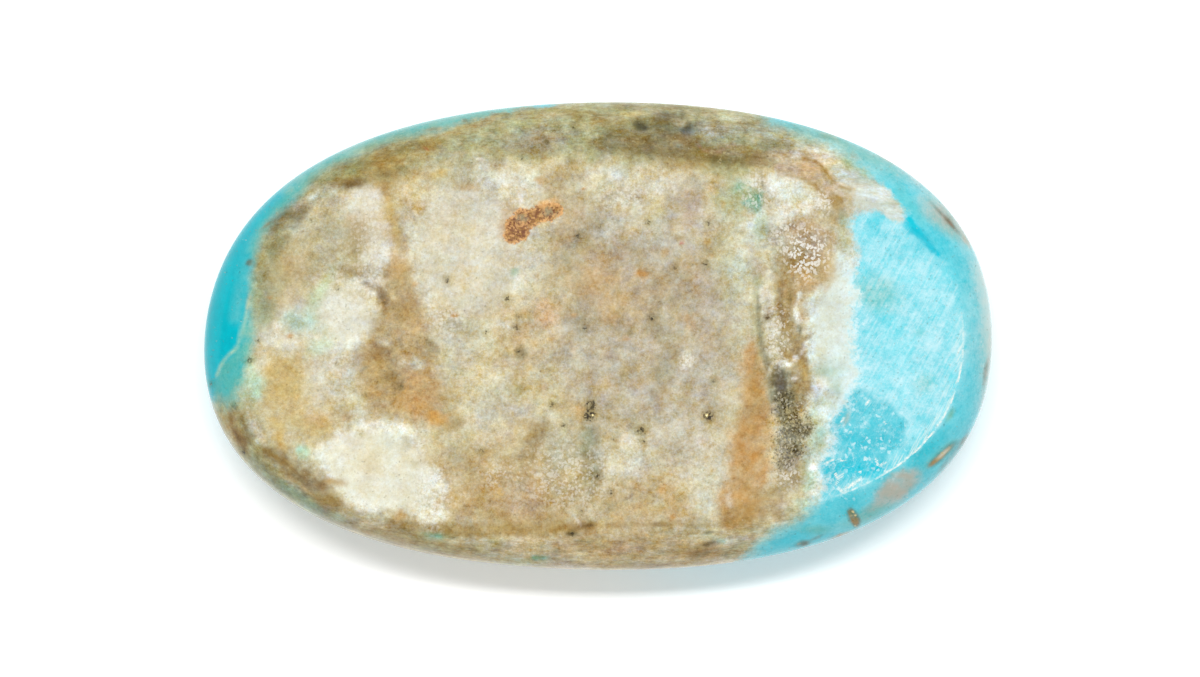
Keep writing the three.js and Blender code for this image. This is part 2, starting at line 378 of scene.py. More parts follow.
# Broad areas of the host rock: colour, strength, softness of the edge in millimetres, and points round it
HOST_AREAS = [
    ("mist", 0.5, 1.0, [(-1.9, 6.3), (-0.4, 5.2), (1.8, 4.6), (4.2, 4.2), (5.6, 2.0), (5.4, -1.5),
                        (4.8, -4.6), (3.2, -5.4), (1.8, -3.4), (-0.6, -3.6), (-1.6, -1.8), (-1.4, 1.0),
                        (-1.8, 3.4)]),
    ("tan", 0.35, 0.8, [(-2.0, 6.6), (-0.9, 6.5), (-0.6, 4.4), (0.6, 3.4), (2.2, 3.0), (4.0, 3.4), (4.2, 1.4),
                        (2.0, 0.4), (0.0, 0.4), (-1.2, 1.6), (-1.9, 3.8)]),
    ("brown", 0.3, 0.6, [(-9.7, -0.5), (-9.0, 0.2), (-8.4, 0.4), (-8.3, 2.0), (-7.6, 2.0), (-7.1, 0.5),
                         (-6.6, -0.8), (-6.2, -2.0), (-5.6, -3.3), (-5.9, -4.0), (-6.8, -3.8), (-7.4, -3.2),
                         (-8.6, -3.0), (-9.6, -2.5), (-9.9, -1.4)]),
    ("ochre", 0.5, 0.5, [(-13.5, -0.9), (-12.4, -0.8), (-11.4, -1.4), (-10.8, -2.6), (-10.6, -3.6),
                         (-11.4, -4.2), (-12.4, -4.0), (-13.3, -2.8)]),
    ("brown", 0.3, 0.7, [(-5.4, -4.9), (-3.6, -4.6), (-2.0, -5.2), (-1.2, -6.4), (-1.4, -7.6), (-5.6, -7.7),
                         (-5.9, -6.2)]),
    ("tan", 0.35, 0.6, [(1.0, -5.4), (3.0, -5.2), (3.6, -6.4), (3.4, -7.6), (0.2, -7.6)]),
    ("cream", 0.75, 0.9, [(-7.9, 6.2), (-5.8, 6.0), (-2.6, 6.8), (-2.4, 4.0), (-2.9, 1.7), (-5.2, 1.0),
                          (-7.3, 1.0), (-7.5, 3.0)]),
    ("cream", 0.5, 0.5, [(0.0, 6.9), (3.2, 6.8), (3.2, 5.6), (0.0, 5.4)]),
    ("tan", 0.45, 1.0, [(-7.5, -5.2), (-5.2, -4.4), (-2.0, -4.6), (-0.4, -5.6), (1.2, -6.2), (4.0, -6.4),
                        (3.5, -8.2), (-7.0, -8.0)]),
    ("khaki", 0.75, 0.35, [(-12.3, 5.4), (-11.5, 5.9), (-10.2, 6.1), (-8.6, 6.1), (-7.6, 6.6), (-6.0, 7.0),
                           (-4.0, 7.15), (0.0, 7.1), (3.0, 6.95), (5.0, 6.8), (6.9, 6.7), (8.2, 7.4),
                           (9.4, 8.4), (4.0, 11.5), (-6.0, 11.0), (-12.5, 7.5)]),
    ("khaki", 0.7, 0.4, [(-13.9, 4.2), (-12.6, 4.7), (-12.2, 3.4), (-12.7, 1.8), (-13.2, 0.6), (-14.0, 0.4),
                         (-14.6, 0.8), (-14.3, 2.5)]),
    ("khaki", 0.55, 0.6, [(-15.8, -2.2), (-14.6, -2.6), (-13.8, -3.6), (-12.2, -5.0), (-11.0, -6.0),
                          (-9.0, -7.4), (-4.0, -8.1), (-4.0, -11.5), (-12.0, -10.0), (-17.0, -5.0)]),
    ("tan", 0.4, 0.5, [(-9.8, -7.4), (-6.0, -7.9), (0.0, -8.0), (4.5, -8.1), (6.4, -8.2), (5.0, -11.0),
                       (-6.0, -11.5)]),
    ("grey", 0.6, 0.5, [(-12.3, 4.6), (-10.0, 5.2), (-9.4, 4.4), (-9.5, 3.0), (-11.0, 2.6), (-12.4, 2.2),
                        (-12.7, 3.4)]),
    ("tan", 0.65, 0.4, [(-8.7, 3.2), (-7.5, 3.2), (-7.1, 1.2), (-6.6, -0.6), (-6.3, -2.4), (-6.8, -3.4),
                        (-8.2, -3.4), (-9.6, -2.6), (-9.9, -1.2), (-9.3, 0.0), (-8.6, 1.2)]),
    ("sugar", 0.85, 0.25, [(-11.7, 0.4), (-11.4, 1.5), (-10.8, 2.1), (-10.2, 2.2), (-9.6, 2.3), (-9.4, 3.1),
                          (-9.3, 4.4), (-10.2, 5.1), (-10.0, 5.75), (-9.0, 5.85), (-8.6, 4.9), (-8.4, 3.4),
                          (-8.8, 2.5), (-9.0, 1.2), (-9.1, 0.3), (-9.7, -0.5), (-10.8, -0.6), (-11.6, -0.4)]),
    ("sugar", 1.0, 0.22, [(-11.6, -4.9), (-11.0, -4.2), (-10.0, -3.6), (-8.9, -3.4), (-8.0, -3.4),
                          (-7.4, -3.75), (-7.15, -4.3), (-7.15, -5.0), (-6.7, -5.2), (-6.25, -5.6),
                          (-6.1, -6.3), (-6.5, -6.7), (-6.1, -7.1), (-6.1, -7.55), (-7.1, -7.6), (-7.7, -7.3),
                          (-8.4, -7.1), (-9.3, -7.2), (-10.0, -7.0), (-10.4, -6.6), (-10.6, -6.1),
                          (-10.8, -5.7), (-11.3, -5.3)]),
    ("sugar", 0.75, 0.25, [(6.9, 6.3), (7.5, 6.55), (8.3, 6.35), (8.8, 5.9), (9.0, 5.2), (8.4, 4.9),
                           (7.4, 4.5), (7.0, 5.2)]),
    ("border", 1.5, 0.35, [(10.0, 3.6), (11.4, 3.4), (11.4, 1.0), (11.4, -0.8), (11.4, -2.0), (11.0, -2.8),
                            (10.6, -3.4), (10.4, -4.2), (10.2, -4.8), (9.4, -6.6), (8.4, -7.0), (8.5, -5.0),
                            (8.9, -3.6), (8.6, -2.6), (8.8, -1.6), (8.4, -0.6), (8.7, 0.3), (8.5, 1.4),
                            (9.2, 2.0), (9.6, 2.6)]),
    ("orange", 0.72, 0.35, [(5.9, -0.2), (6.6, -0.2), (6.8, -1.8), (7.0, -3.6), (7.0, -5.2), (6.6, -6.4),
                            (6.5, -7.4), (5.6, -7.9), (4.8, -7.6), (4.9, -6.6), (5.4, -5.6), (5.1, -4.6),
                            (5.3, -3.9), (5.9, -3.4), (5.8, -1.8)]),
    ("crust", 1.0, 0.12, [(9.3, 6.9), (10.1, 7.0), (10.7, 6.8), (11.3, 6.6), (11.9, 6.4), (12.6, 5.9),
                          (13.1, 5.2), (12.9, 4.3), (12.3, 4.1), (11.9, 4.2), (11.5, 4.4), (11.0, 4.6),
                          (10.5, 4.7), (10.3, 5.3), (10.4, 5.8), (10.1, 6.05), (9.6, 6.3)]),
]

# Streaks and veins in the host rock: colour, strength, softness, width and the points along it
HOST_VEINS = [
    ("tan", 0.8, 0.25, 0.7, [(-8.8, 5.9), (-8.45, 4.9), (-8.15, 3.8), (-8.0, 2.6), (-7.8, 1.2)]),
    ("ochre", 0.5, 0.2, 0.4, [(-8.7, 5.9), (-8.4, 5.0), (-8.1, 4.0)]),
    ("umber", 0.75, 0.1, 0.1, [(-6.95, -0.15), (-6.5, -0.6)]),
    ("tan", 0.4, 0.25, 0.9, [(6.8, 7.1), (7.8, 7.0), (8.7, 6.7), (9.3, 6.1)]),
    ("pink", 0.6, 0.2, 0.8, [(7.6, 6.8), (8.4, 6.75), (9.1, 6.3), (9.6, 5.7)]),
    ("cream", 0.6, 0.15, 0.35, [(7.0, 7.4), (7.8, 7.5), (8.6, 7.4), (9.3, 7.0)]),
    ("brown", 0.8, 0.07, 0.12, [(7.3, 6.65), (8.1, 6.45), (8.7, 6.15), (9.1, 5.75), (9.4, 5.4)]),
    ("brown", 0.95, 0.06, 0.1, [(8.3, 7.25), (8.8, 7.1), (9.15, 6.8), (9.35, 6.4), (9.7, 6.1), (10.2, 5.95)]),
    ("brown", 0.7, 0.05, 0.08, [(9.0, 6.75), (9.25, 6.35), (9.5, 6.1)]),
    ("umber", 0.5, 0.06, 0.1, [(7.7, 6.75), (8.0, 6.75), (8.3, 6.55)]),
    ("tan", 0.7, 0.2, 0.8, [(8.9, 2.9), (8.3, 2.2), (7.8, 1.6)]),
    ("brown", 0.75, 0.15, 0.8, [(7.6, 2.8), (7.6, 1.0), (7.65, -0.2), (7.8, -0.8)]),
    ("umber", 0.5, 0.07, 0.1, [(7.45, 2.4), (7.4, 1.2), (7.5, 0.2)]),
    ("umber", 0.35, 0.06, 0.08, [(7.75, 1.6), (7.7, 0.6), (7.75, -0.2)]),
    ("tan", 0.6, 0.06, 0.1, [(7.6, 2.2), (7.55, 1.2), (7.62, 0.3)]),
    ("brown", 0.8, 0.12, 0.5, [(8.1, -0.1), (8.15, -0.9), (8.35, -1.5), (8.4, -2.1)]),
    ("brown", 0.8, 0.12, 0.5, [(7.85, -1.0), (7.95, -1.6), (8.0, -2.4)]),
    ("ochre", 0.5, 0.08, 0.15, [(8.15, -0.9), (8.4, -1.6), (8.4, -2.1)]),
    ("khaki", 0.6, 0.15, 0.4, [(6.45, 2.3), (6.4, 1.0), (6.5, 0.1), (6.7, -0.8)]),
    ("smoke", 0.75, 0.08, 0.2, [(6.5, 1.6), (6.48, 0.6), (6.6, -0.2), (6.75, -0.9), (6.95, -1.4)]),
    ("smoke", 0.75, 0.1, 0.3, [(6.75, -0.6), (6.95, -1.6), (7.05, -2.6)]),
    ("khaki", 0.4, 0.15, 0.3, [(8.3, -4.6), (8.5, -5.4), (8.2, -6.2)]),
    ("cream", 0.85, 0.08, 0.45, [(6.75, 1.8), (6.9, 1.2), (6.85, 0.4), (7.1, 0.1)]),
    ("cream", 0.85, 0.08, 0.3, [(7.1, 1.0), (7.25, 0.5), (7.15, 0.1)]),
    ("mist", 0.4, 0.1, 0.3, [(6.75, 1.7), (6.95, 1.2), (6.95, 0.9)]),
    ("sugar", 0.9, 0.06, 0.22, [(8.2, 1.75), (8.05, 1.4), (8.02, 0.9), (8.15, 0.6)]),
    ("sugar", 0.6, 0.05, 0.12, [(8.6, 0.35), (8.4, -0.3), (8.2, -0.75)]),
    ("grey", 0.8, 0.05, 0.08, [(7.72, -1.5), (7.7, -2.0), (7.68, -2.6)]),
    ("brown", 0.7, 0.15, 0.5, [(-8.4, -7.6), (-6.5, -7.95), (-4.5, -7.85), (-2.0, -7.8), (-0.4, -7.75)]),
    ("brown", 0.55, 0.12, 0.16, [(-2.0, -7.85), (0.0, -7.65), (2.5, -7.6), (4.4, -7.65)]),
    ("umber", 0.5, 0.3, 0.5, [(2.4, 7.3), (3.8, 7.2), (5.4, 7.05), (6.8, 7.2)]),
    ("smoke", 0.55, 0.35, 0.9, [(0.3, 8.0), (1.4, 8.4), (2.8, 8.5), (4.4, 8.2)]),
    ("smoke", 0.4, 0.25, 0.5, [(-11.6, 6.3), (-10.4, 6.6), (-9.2, 6.9), (-8.0, 7.5)]),
    ("umber", 0.7, 0.08, 0.14, [(-0.9, -7.75), (-0.2, -7.65)]),
    ("umber", 0.6, 0.08, 0.12, [(2.3, -7.65), (2.9, -7.62)]),
    ("pink", 0.8, 0.05, 0.12, [(4.0, 7.8), (4.3, 7.5), (4.8, 7.42), (5.1, 7.6), (5.5, 7.75)]),
    ("smoke", 0.7, 0.15, 0.3, [(-13.1, 4.75), (-12.5, 4.95), (-11.9, 5.15)]),
    ("umber", 0.6, 0.12, 0.22, [(-14.9, -3.0), (-14.75, -3.7), (-14.3, -4.3)]),
    ("umber", 0.5, 0.12, 0.2, [(-14.5, -3.3), (-14.1, -4.1)]),
    ("teal", 0.55, 0.15, 0.32, [(-12.9, -6.0), (-12.2, -6.5), (-11.4, -7.0)]),
    ("lichen", 0.7, 0.2, 0.45, [(-13.9, -5.2), (-12.9, -6.1), (-11.6, -7.0), (-10.2, -7.6)]),
]

# Spots and stains of the host rock: colour, x, y, length, width, turn in degrees, strength and softness
HOST_SPOTS = [
    ("grey", -2.5, 7.8, 2.4, 1.2, 0, 0.6, 0.4),
    ("khaki", -9.8, 6.9, 4.4, 0.9, 22, 0.6, 0.3),
    ("olive", -10.3, 6.8, 2.6, 0.7, 25, 0.25, 0.3),
    ("smoke", -12.5, 4.8, 1.9, 0.9, 35, 0.75, 0.25),
    ("smoke", -13.2, 3.1, 0.8, 2.8, -15, 0.45, 0.25),
    ("lichen", -13.8, 1.4, 0.7, 2.8, 8, 0.6, 0.25),
    ("smoke", -13.6, 1.5, 0.5, 1.8, 5, 0.25, 0.2),
    ("umber", -10.0, 6.15, 1.2, 0.45, 8, 0.7, 0.15),
    ("olive", -10.0, 6.15, 0.8, 0.35, 8, 0.3, 0.15),
    ("cream", -9.5, 5.35, 1.6, 1.3, 0, 1.3, 0.25),
    ("cream", -9.0, 3.8, 1.0, 2.4, 0, 1.3, 0.25),
    ("ochre", -9.0, 3.8, 0.9, 1.8, 0, 0.12, 0.3),
    ("cream", -9.6, 1.9, 1.0, 0.9, 0, 0.6, 0.25),
    ("brown", -8.6, 6.7, 1.7, 1.4, 30, 0.75, 0.4),
    ("brown", -6.9, 7.7, 2.2, 0.8, 15, 0.5, 0.3),
    ("brown", -5.6, 8.4, 2.2, 0.35, 16, 0.45, 0.2),
    ("grey", -6.1, 6.5, 1.6, 0.9, 0, 0.5, 0.3),
    ("tan", -12.4, 2.6, 1.0, 2.2, -15, 0.5, 0.4),
    ("brown", -9.9, 2.65, 1.6, 0.35, -4, 0.55, 0.15),
    ("brown", -9.6, 4.0, 0.8, 1.2, 20, 0.35, 0.3),
    ("umber", -9.7, 2.45, 0.5, 0.18, -20, 0.6, 0.1),
    ("mint", -11.2, 1.8, 0.4, 1.6, -28, 0.6, 0.25),
    ("mint", -11.5, 1.3, 0.4, 1.2, -20, 0.6, 0.25),
    ("ochre", -11.35, 1.55, 0.6, 1.7, -25, 0.3, 0.25),
    ("border", -12.0, 0.6, 1.4, 0.9, 0, 0.9, 0.3),
    ("mint", -12.0, 0.6, 1.4, 0.9, 0, 0.6, 0.3),
    ("mint", -11.2, -0.4, 1.0, 0.7, 30, 0.5, 0.25),
    ("cream", -13.0, -0.3, 1.7, 1.1, 0, 0.9, 0.4),
    ("sugar", -13.0, 0.35, 0.35, 0.6, 0, 0.95, 0.1),
    ("sugar", -12.9, -0.25, 1.3, 0.3, 0, 0.6, 0.15),
    ("umber", -9.2, 2.0, 0.6, 0.2, -25, 0.7, 0.1),
    ("umber", -8.75, 1.65, 0.35, 0.9, 25, 0.7, 0.12),
    ("umber", -8.6, 1.15, 0.2, 0.6, -10, 0.6, 0.1),
    ("umber", -8.6, 2.45, 0.3, 0.25, 0, 0.6, 0.1),
    ("brown", -9.1, 0.5, 0.3, 0.8, 20, 0.4, 0.12),
    ("umber", -9.0, -0.6, 1.3, 0.8, 25, 0.5, 0.35),
    ("brown", -9.0, -1.3, 1.8, 1.2, 0, 0.45, 0.5),
    ("umber", -9.6, -0.9, 0.5, 0.3, 30, 0.4, 0.12),
    ("umber", -8.3, -1.6, 0.6, 0.3, 30, 0.35, 0.15),
    ("cream", -8.6, -0.2, 0.5, 0.3, 0, 0.5, 0.15),
    ("cream", -7.9, -1.0, 0.5, 0.3, -30, 0.4, 0.15),
    ("cream", -6.6, -1.4, 0.5, 0.4, -30, 0.4, 0.15),
    ("brown", -7.9, 0.6, 0.5, 0.8, 0, 0.4, 0.2),
    ("orange", -8.9, -2.4, 0.7, 0.4, 0, 0.4, 0.15),
    ("orange", -7.2, -2.9, 1.0, 0.5, -20, 0.35, 0.2),
    ("smoke", -9.45, -1.3, 0.35, 0.1, 20, 0.7, 0.05),
    ("olive", -8.1, -1.95, 0.5, 0.35, 40, 0.5, 0.15),
    ("orange", -7.4, -2.4, 1.9, 1.3, 0, 0.45, 0.5),
    ("orange", -7.2, -1.6, 1.2, 0.6, 10, 0.3, 0.3),
    ("orange", -6.5, -3.35, 1.1, 0.5, -20, 0.85, 0.15),
    ("brown", -5.8, -3.5, 0.8, 0.5, 20, 0.5, 0.2),
    ("ochre", -6.6, -4.2, 0.7, 1.3, 0, 0.5, 0.3),
    ("orange", -8.15, 0.15, 0.3, 0.3, 0, 0.5, 0.1),
    ("border", -7.3, -1.1, 0.5, 0.35, -30, 0.7, 0.12),
    ("brown", -7.7, 1.0, 1.2, 0.5, 0, 0.5, 0.25),
    ("grey", -7.0, -0.5, 0.8, 0.9, 0, 0.35, 0.3),
    ("ochre", -12.6, -1.7, 1.9, 2.3, 0, 0.45, 0.5),
    ("ochre", -11.4, -3.0, 2.1, 2.0, 0, 0.4, 0.5),
    ("cream", -11.6, -2.9, 0.9, 0.9, 0, 0.35, 0.3),
    ("ochre", -13.3, -1.7, 0.35, 2.0, -5, 0.5, 0.15),
    ("brown", -12.9, -1.6, 0.9, 1.1, 0, 0.2, 0.3),
    ("orange", -11.4, -3.4, 1.0, 0.7, 0, 0.3, 0.3),
    ("ochre", -12.9, -3.9, 0.6, 1.5, 15, 0.85, 0.2),
    ("cream", -10.7, -1.8, 2.2, 2.2, 0, 0.55, 0.6),
    ("tan", -10.1, -3.3, 0.5, 0.3, -30, 0.7, 0.1),
    ("mint", -14.0, -1.9, 0.9, 1.4, 15, 0.75, 0.3),
    ("khaki", -14.3, -3.1, 1.2, 1.3, 0, 0.4, 0.3),
    ("border", -13.6, -4.2, 0.4, 0.6, 20, 0.7, 0.12),
    ("umber", -13.1, -4.85, 1.6, 0.6, -27, 0.6, 0.15),
    ("umber", -14.35, -4.25, 0.8, 0.5, -50, 0.4, 0.15),
    ("brown", -12.6, -5.4, 0.9, 0.5, -35, 0.5, 0.15),
    ("umber", -11.5, -6.0, 2.4, 1.0, -42, 0.7, 0.2),
    ("khaki", -13.6, -5.4, 2.4, 0.8, -40, 0.6, 0.25),
    ("olive", -13.5, -5.45, 2.0, 0.5, -42, 0.25, 0.2),
    ("lichen", -12.1, -6.6, 2.4, 0.5, -35, 0.6, 0.2),
    ("olive", -12.0, -6.6, 2.2, 0.4, -35, 0.4, 0.2),
    ("brown", -9.6, -7.7, 2.4, 0.5, -12, 0.75, 0.2),
    ("khaki", -7.0, -8.5, 4.0, 0.9, -8, 0.4, 0.3),
    ("brown", -7.0, -8.5, 4.0, 0.8, -8, 0.3, 0.3),
    ("tan", -1.0, -8.6, 3.0, 0.8, 0, 0.4, 0.3),
    ("grey", -5.4, 6.4, 1.6, 0.8, 0, 0.35, 0.3),
    ("ochre", -13.6, -4.0, 0.4, 0.7, 30, 0.5, 0.12),
    ("cream", -13.9, -3.6, 0.3, 1.0, 25, 0.5, 0.15),
    ("brown", -14.7, -4.0, 0.5, 1.4, 28, 0.5, 0.15),
    ("umber", -14.55, -4.2, 0.15, 1.2, 30, 0.6, 0.06),
    ("brown", -13.0, -4.9, 1.8, 0.25, -32, 0.7, 0.08),
    ("umber", -12.1, -5.6, 1.4, 0.12, -40, 0.6, 0.06),
    ("tan", -11.7, -6.3, 1.6, 0.12, -38, 0.6, 0.06),
    ("brown", -10.6, -6.8, 1.4, 0.6, -30, 0.5, 0.25),
    ("tan", -10.6, -5.9, 0.7, 0.35, -10, 0.8, 0.12),
    ("mint", -12.0, -4.7, 0.6, 0.5, -30, 0.7, 0.15),
    ("teal", -12.1, -4.6, 0.25, 0.2, 0, 0.4, 0.1),
    ("grey", -7.5, -5.15, 0.5, 0.3, -20, 0.5, 0.12),
    ("grey", -7.8, -4.4, 0.4, 0.5, 0, 0.4, 0.15),
    ("border", -8.4, -4.2, 1.2, 1.2, 0, 0.4, 0.4),
    ("ochre", -9.2, -4.9, 0.9, 0.7, 20, 0.15, 0.3),
    ("tan", -9.85, 4.6, 0.8, 1.0, 10, 0.5, 0.25),
    ("lichen", 9.0, -3.5, 0.4, 0.6, 0, 0.35, 0.2),
    ("ochre", -9.0, -5.4, 0.6, 0.7, 0, 0.25, 0.25),
    ("tan", -6.5, -6.85, 0.2, 0.6, -15, 0.75, 0.07),
    ("tan", -7.95, -7.25, 0.5, 0.4, 40, 0.7, 0.1),
    ("cream", -9.2, -7.55, 2.6, 0.5, -10, 0.35, 0.25),
    ("teal", -6.6, -8.1, 0.8, 0.28, -4, 0.6, 0.12),
    ("olive", -5.85, -8.15, 0.4, 0.12, 0, 0.6, 0.05),
    ("teal", -2.4, -9.0, 0.6, 0.18, 0, 0.95, 0.08),
    ("lichen", -3.5, -9.3, 3.0, 0.4, 5, 0.5, 0.2),
    ("ochre", -7.3, 5.6, 2.0, 1.4, 20, 0.3, 0.5),
    ("ochre", -6.4, 6.65, 0.7, 0.4, 30, 0.7, 0.15),
    ("ochre", -7.5, 6.4, 0.9, 0.4, 20, 0.5, 0.2),
    ("tan", -5.3, 6.0, 0.7, 0.25, 0, 0.5, 0.12),
    ("tan", -6.8, 6.0, 0.2, 0.2, 0, 0.5, 0.1),
    ("cream", -3.3, 6.2, 1.5, 1.2, 0, 0.4, 0.4),
    ("cream", -4.7, 3.1, 2.4, 2.2, 0, 0.4, 0.6),
    ("teal", -3.35, 2.6, 0.45, 0.38, 0, 0.5, 0.1),
    ("ochre", -6.3, 3.9, 1.0, 0.5, -30, 0.25, 0.2),
    ("orange", -2.25, 6.25, 0.45, 0.2, -15, 0.6, 0.08),
    ("orange", -2.15, 7.23, 0.25, 0.12, 0, 0.7, 0.06),
    ("grey", -1.6, 5.8, 1.8, 1.6, 0, 0.35, 0.5),
    ("grey", -1.3, 2.6, 2.0, 2.6, 0, 0.5, 0.7),
    ("smoke", -0.8, 0.5, 1.2, 1.2, 0, 0.3, 0.4),
    ("cream", -2.0, 1.0, 1.2, 1.8, 0, 0.5, 0.4),
    ("orange", -2.2, 0.9, 1.4, 2.8, 0, 0.22, 0.5),
    ("orange", -4.0, 0.9, 2.2, 0.5, 8, 0.25, 0.25),
    ("orange", -0.2, 2.3, 1.8, 1.0, 0, 0.35, 0.4),
    ("orange", 0.6, 1.5, 1.0, 1.4, 0, 0.2, 0.4),
    ("grey", -5.6, 0.2, 1.4, 0.8, 0, 0.5, 0.3),
    ("cream", -4.2, 0.35, 1.4, 0.25, 12, 0.6, 0.12),
    ("cream", -4.8, -1.6, 1.6, 1.8, 0, 0.3, 0.5),
    ("khaki", -3.2, -2.2, 0.7, 0.5, 0, 0.45, 0.2),
    ("orange", -3.1, -0.6, 1.8, 1.4, 0, 0.25, 0.5),
    ("orange", -3.75, 4.4, 0.5, 1.3, 0, 0.5, 0.2),
    ("ochre", -3.35, 5.1, 0.6, 0.4, 0, 0.5, 0.15),
    ("amber", -2.0, 5.38, 0.7, 0.25, 8, 0.5, 0.1),
    ("amber", -2.0, 1.0, 0.9, 0.9, 0, 0.3, 0.3),
    ("olive", -3.12, -0.67, 0.46, 0.42, 0, 0.55, 0.12),
    ("umber", 0.38, -0.88, 0.35, 0.3, 0, 0.5, 0.12),
    ("orange", -0.75, -3.05, 0.5, 0.6, 0, 0.4, 0.2),
    ("umber", -2.5, -4.0, 0.5, 1.0, -30, 0.45, 0.2),
    ("brown", -2.6, -4.3, 1.1, 1.8, -15, 0.65, 0.4),
    ("cream", -4.4, -3.2, 1.2, 1.0, 0, 0.2, 0.4),
    ("tan", -3.7, -3.9, 1.2, 1.0, 0, 0.35, 0.4),
    ("cream", -3.1, -3.1, 1.0, 0.5, 0, 0.3, 0.25),
    ("ochre", -1.0, -3.0, 1.4, 1.2, 0, 0.3, 0.3),
    ("smoke", -0.3, -4.7, 1.0, 2.2, 0, 0.6, 0.35),
    ("lichen", -0.4, -4.2, 0.6, 0.9, 0, 0.4, 0.2),
    ("smoke", -0.3, -4.4, 0.7, 0.9, 0, 0.5, 0.25),
    ("smoke", 0.5, -6.5, 1.4, 1.0, 0, 0.15, 0.4),
    ("smoke", -1.6, -4.7, 1.4, 1.2, 0, 0.25, 0.4),
    ("khaki", -0.4, -6.0, 1.2, 1.2, 0, 0.3, 0.4),
    ("smoke", -5.4, -4.6, 1.2, 1.2, 0, 0.2, 0.4),
    ("pink", -3.2, -6.6, 2.4, 1.4, 0, 0.4, 0.4),
    ("brown", -2.0, -7.5, 2.2, 0.8, 0, 0.3, 0.3),
    ("brown", -4.0, -7.3, 1.0, 0.5, 0, 0.4, 0.2),
    ("cream", 1.2, -4.9, 2.2, 1.6, 0, 0.5, 0.5),
    ("cream", 4.5, -5.0, 1.6, 2.0, 0, 0.25, 0.4),
    ("cream", 3.6, -3.6, 1.6, 1.4, 0, 0.3, 0.4),
    ("cream", 4.2, -6.7, 0.9, 1.0, 0, 0.35, 0.25),
    ("cream", 3.6, -0.95, 0.55, 0.7, 20, 0.8, 0.12),
    ("cream", 4.4, -1.5, 0.5, 0.5, 40, 0.6, 0.15),
    ("smoke", 2.6, -1.4, 0.7, 2.0, -25, 0.4, 0.35),
    ("smoke", 0.7, -1.4, 1.0, 0.8, 0, 0.2, 0.4),
    ("mist", 4.5, 1.6, 0.9, 1.2, 20, 0.5, 0.3),
    ("smoke", 3.3, 2.0, 0.5, 1.2, -20, 0.3, 0.25),
    ("smoke", 2.4, 0.5, 1.0, 0.9, 0, 0.3, 0.3),
    ("orange", 3.7, 0.6, 0.5, 0.6, 0, 0.45, 0.2),
    ("orange", 0.4, 0.7, 0.5, 0.4, 0, 0.35, 0.2),
    ("mist", 3.6, 5.3, 1.7, 2.0, 0, 0.6, 0.4),
    ("pink", 3.7, 5.3, 1.0, 1.2, 0, 0.3, 0.4),
    ("grey", 4.3, 6.0, 0.6, 1.2, 0, 0.4, 0.3),
    ("cream", 1.6, 4.2, 1.0, 0.8, 0, 0.4, 0.3),
    ("cream", 0.4, 4.0, 0.6, 1.0, 0, 0.3, 0.25),
    ("smoke", 1.6, 3.5, 1.2, 1.0, 0, 0.2, 0.4),
    ("lichen", 5.5, 2.7, 1.5, 2.8, 0, 0.25, 0.5),
    ("border", 5.7, 2.6, 1.0, 2.0, 0, 0.4, 0.5),
    ("border", 6.5, 4.3, 0.9, 1.4, 0, 0.5, 0.25),
    ("mint", 6.55, 4.4, 0.5, 1.5, 0, 0.4, 0.2),
    ("lichen", 5.4, 5.6, 1.4, 1.6, 0, 0.45, 0.4),
    ("teal", 6.3, 5.5, 0.7, 1.0, -15, 0.85, 0.2),
    ("teal", 5.7, 6.0, 0.5, 0.6, -20, 0.5, 0.2),
    ("khaki", 5.4, 6.7, 1.8, 0.8, -5, 0.7, 0.25),
    ("sugar", 6.4, 6.25, 0.6, 0.5, 0, 0.6, 0.12),
    ("sugar", 7.0, 6.5, 0.5, 0.3, 0, 0.5, 0.1),
    ("olive", 6.65, 6.2, 0.08, 0.6, 10, 0.6, 0.06),
    ("tan", 8.6, 4.4, 1.8, 1.0, 0, 0.4, 0.3),
    ("pink", 8.5, 3.7, 1.8, 1.6, 0, 0.6, 0.4),
    ("brown", 8.3, 3.1, 1.3, 1.0, 0, 0.15, 0.3),
    ("brown", 9.7, 5.35, 0.9, 0.45, -60, 0.9, 0.15),
    ("brown", 9.65, 4.8, 0.8, 0.5, 0, 0.55, 0.2),
    ("lichen", 9.95, 4.7, 0.4, 0.6, 0, 0.5, 0.15),
    ("ochre", 9.3, 3.0, 0.7, 1.2, 10, 0.45, 0.25),
    ("tan", 8.7, 2.4, 1.4, 1.0, 0, 0.9, 0.3),
    ("lichen", 9.9, 3.8, 0.5, 1.6, 0, 0.4, 0.2),
    ("border", 9.95, 2.9, 0.5, 2.2, 8, 0.5, 0.2),
    ("grey", 7.3, 3.0, 0.5, 1.8, 0, 0.6, 0.2),
    ("border", 7.2, 5.6, 0.5, 1.6, 0, 0.4, 0.2),
    ("border", 7.9, 5.7, 0.9, 0.9, 0, 0.6, 0.3),
    ("umber", 6.85, 0.75, 0.28, 0.22, 0, 0.7, 0.1),
    ("tan", 8.25, 0.9, 0.3, 0.5, 0, 0.6, 0.1),
    ("olive", 8.17, 0.3, 0.24, 0.4, 0, 0.85, 0.07),
    ("brown", 8.45, -0.05, 0.35, 0.2, 30, 0.8, 0.07),
    ("grey", 7.2, -0.4, 0.9, 0.8, 0, 0.6, 0.2),
    ("smoke", 7.0, -0.8, 0.3, 0.5, 0, 0.5, 0.12),
    ("sugar", 7.5, -1.13, 0.65, 0.36, 0, 0.95, 0.07),
    ("sugar", 7.1, -0.6, 0.5, 0.2, 20, 0.5, 0.1),
    ("sugar", 7.95, -1.7, 0.25, 0.22, 0, 0.95, 0.06),
    ("cream", 8.0, -0.9, 0.2, 0.2, 0, 0.8, 0.06),
    ("cream", 6.95, -1.4, 0.15, 0.5, -20, 0.7, 0.06),
    ("lichen", 9.1, -1.3, 0.9, 0.7, 0, 0.35, 0.3),
    ("teal", 9.1, -2.65, 0.6, 0.35, 0, 0.3, 0.15),
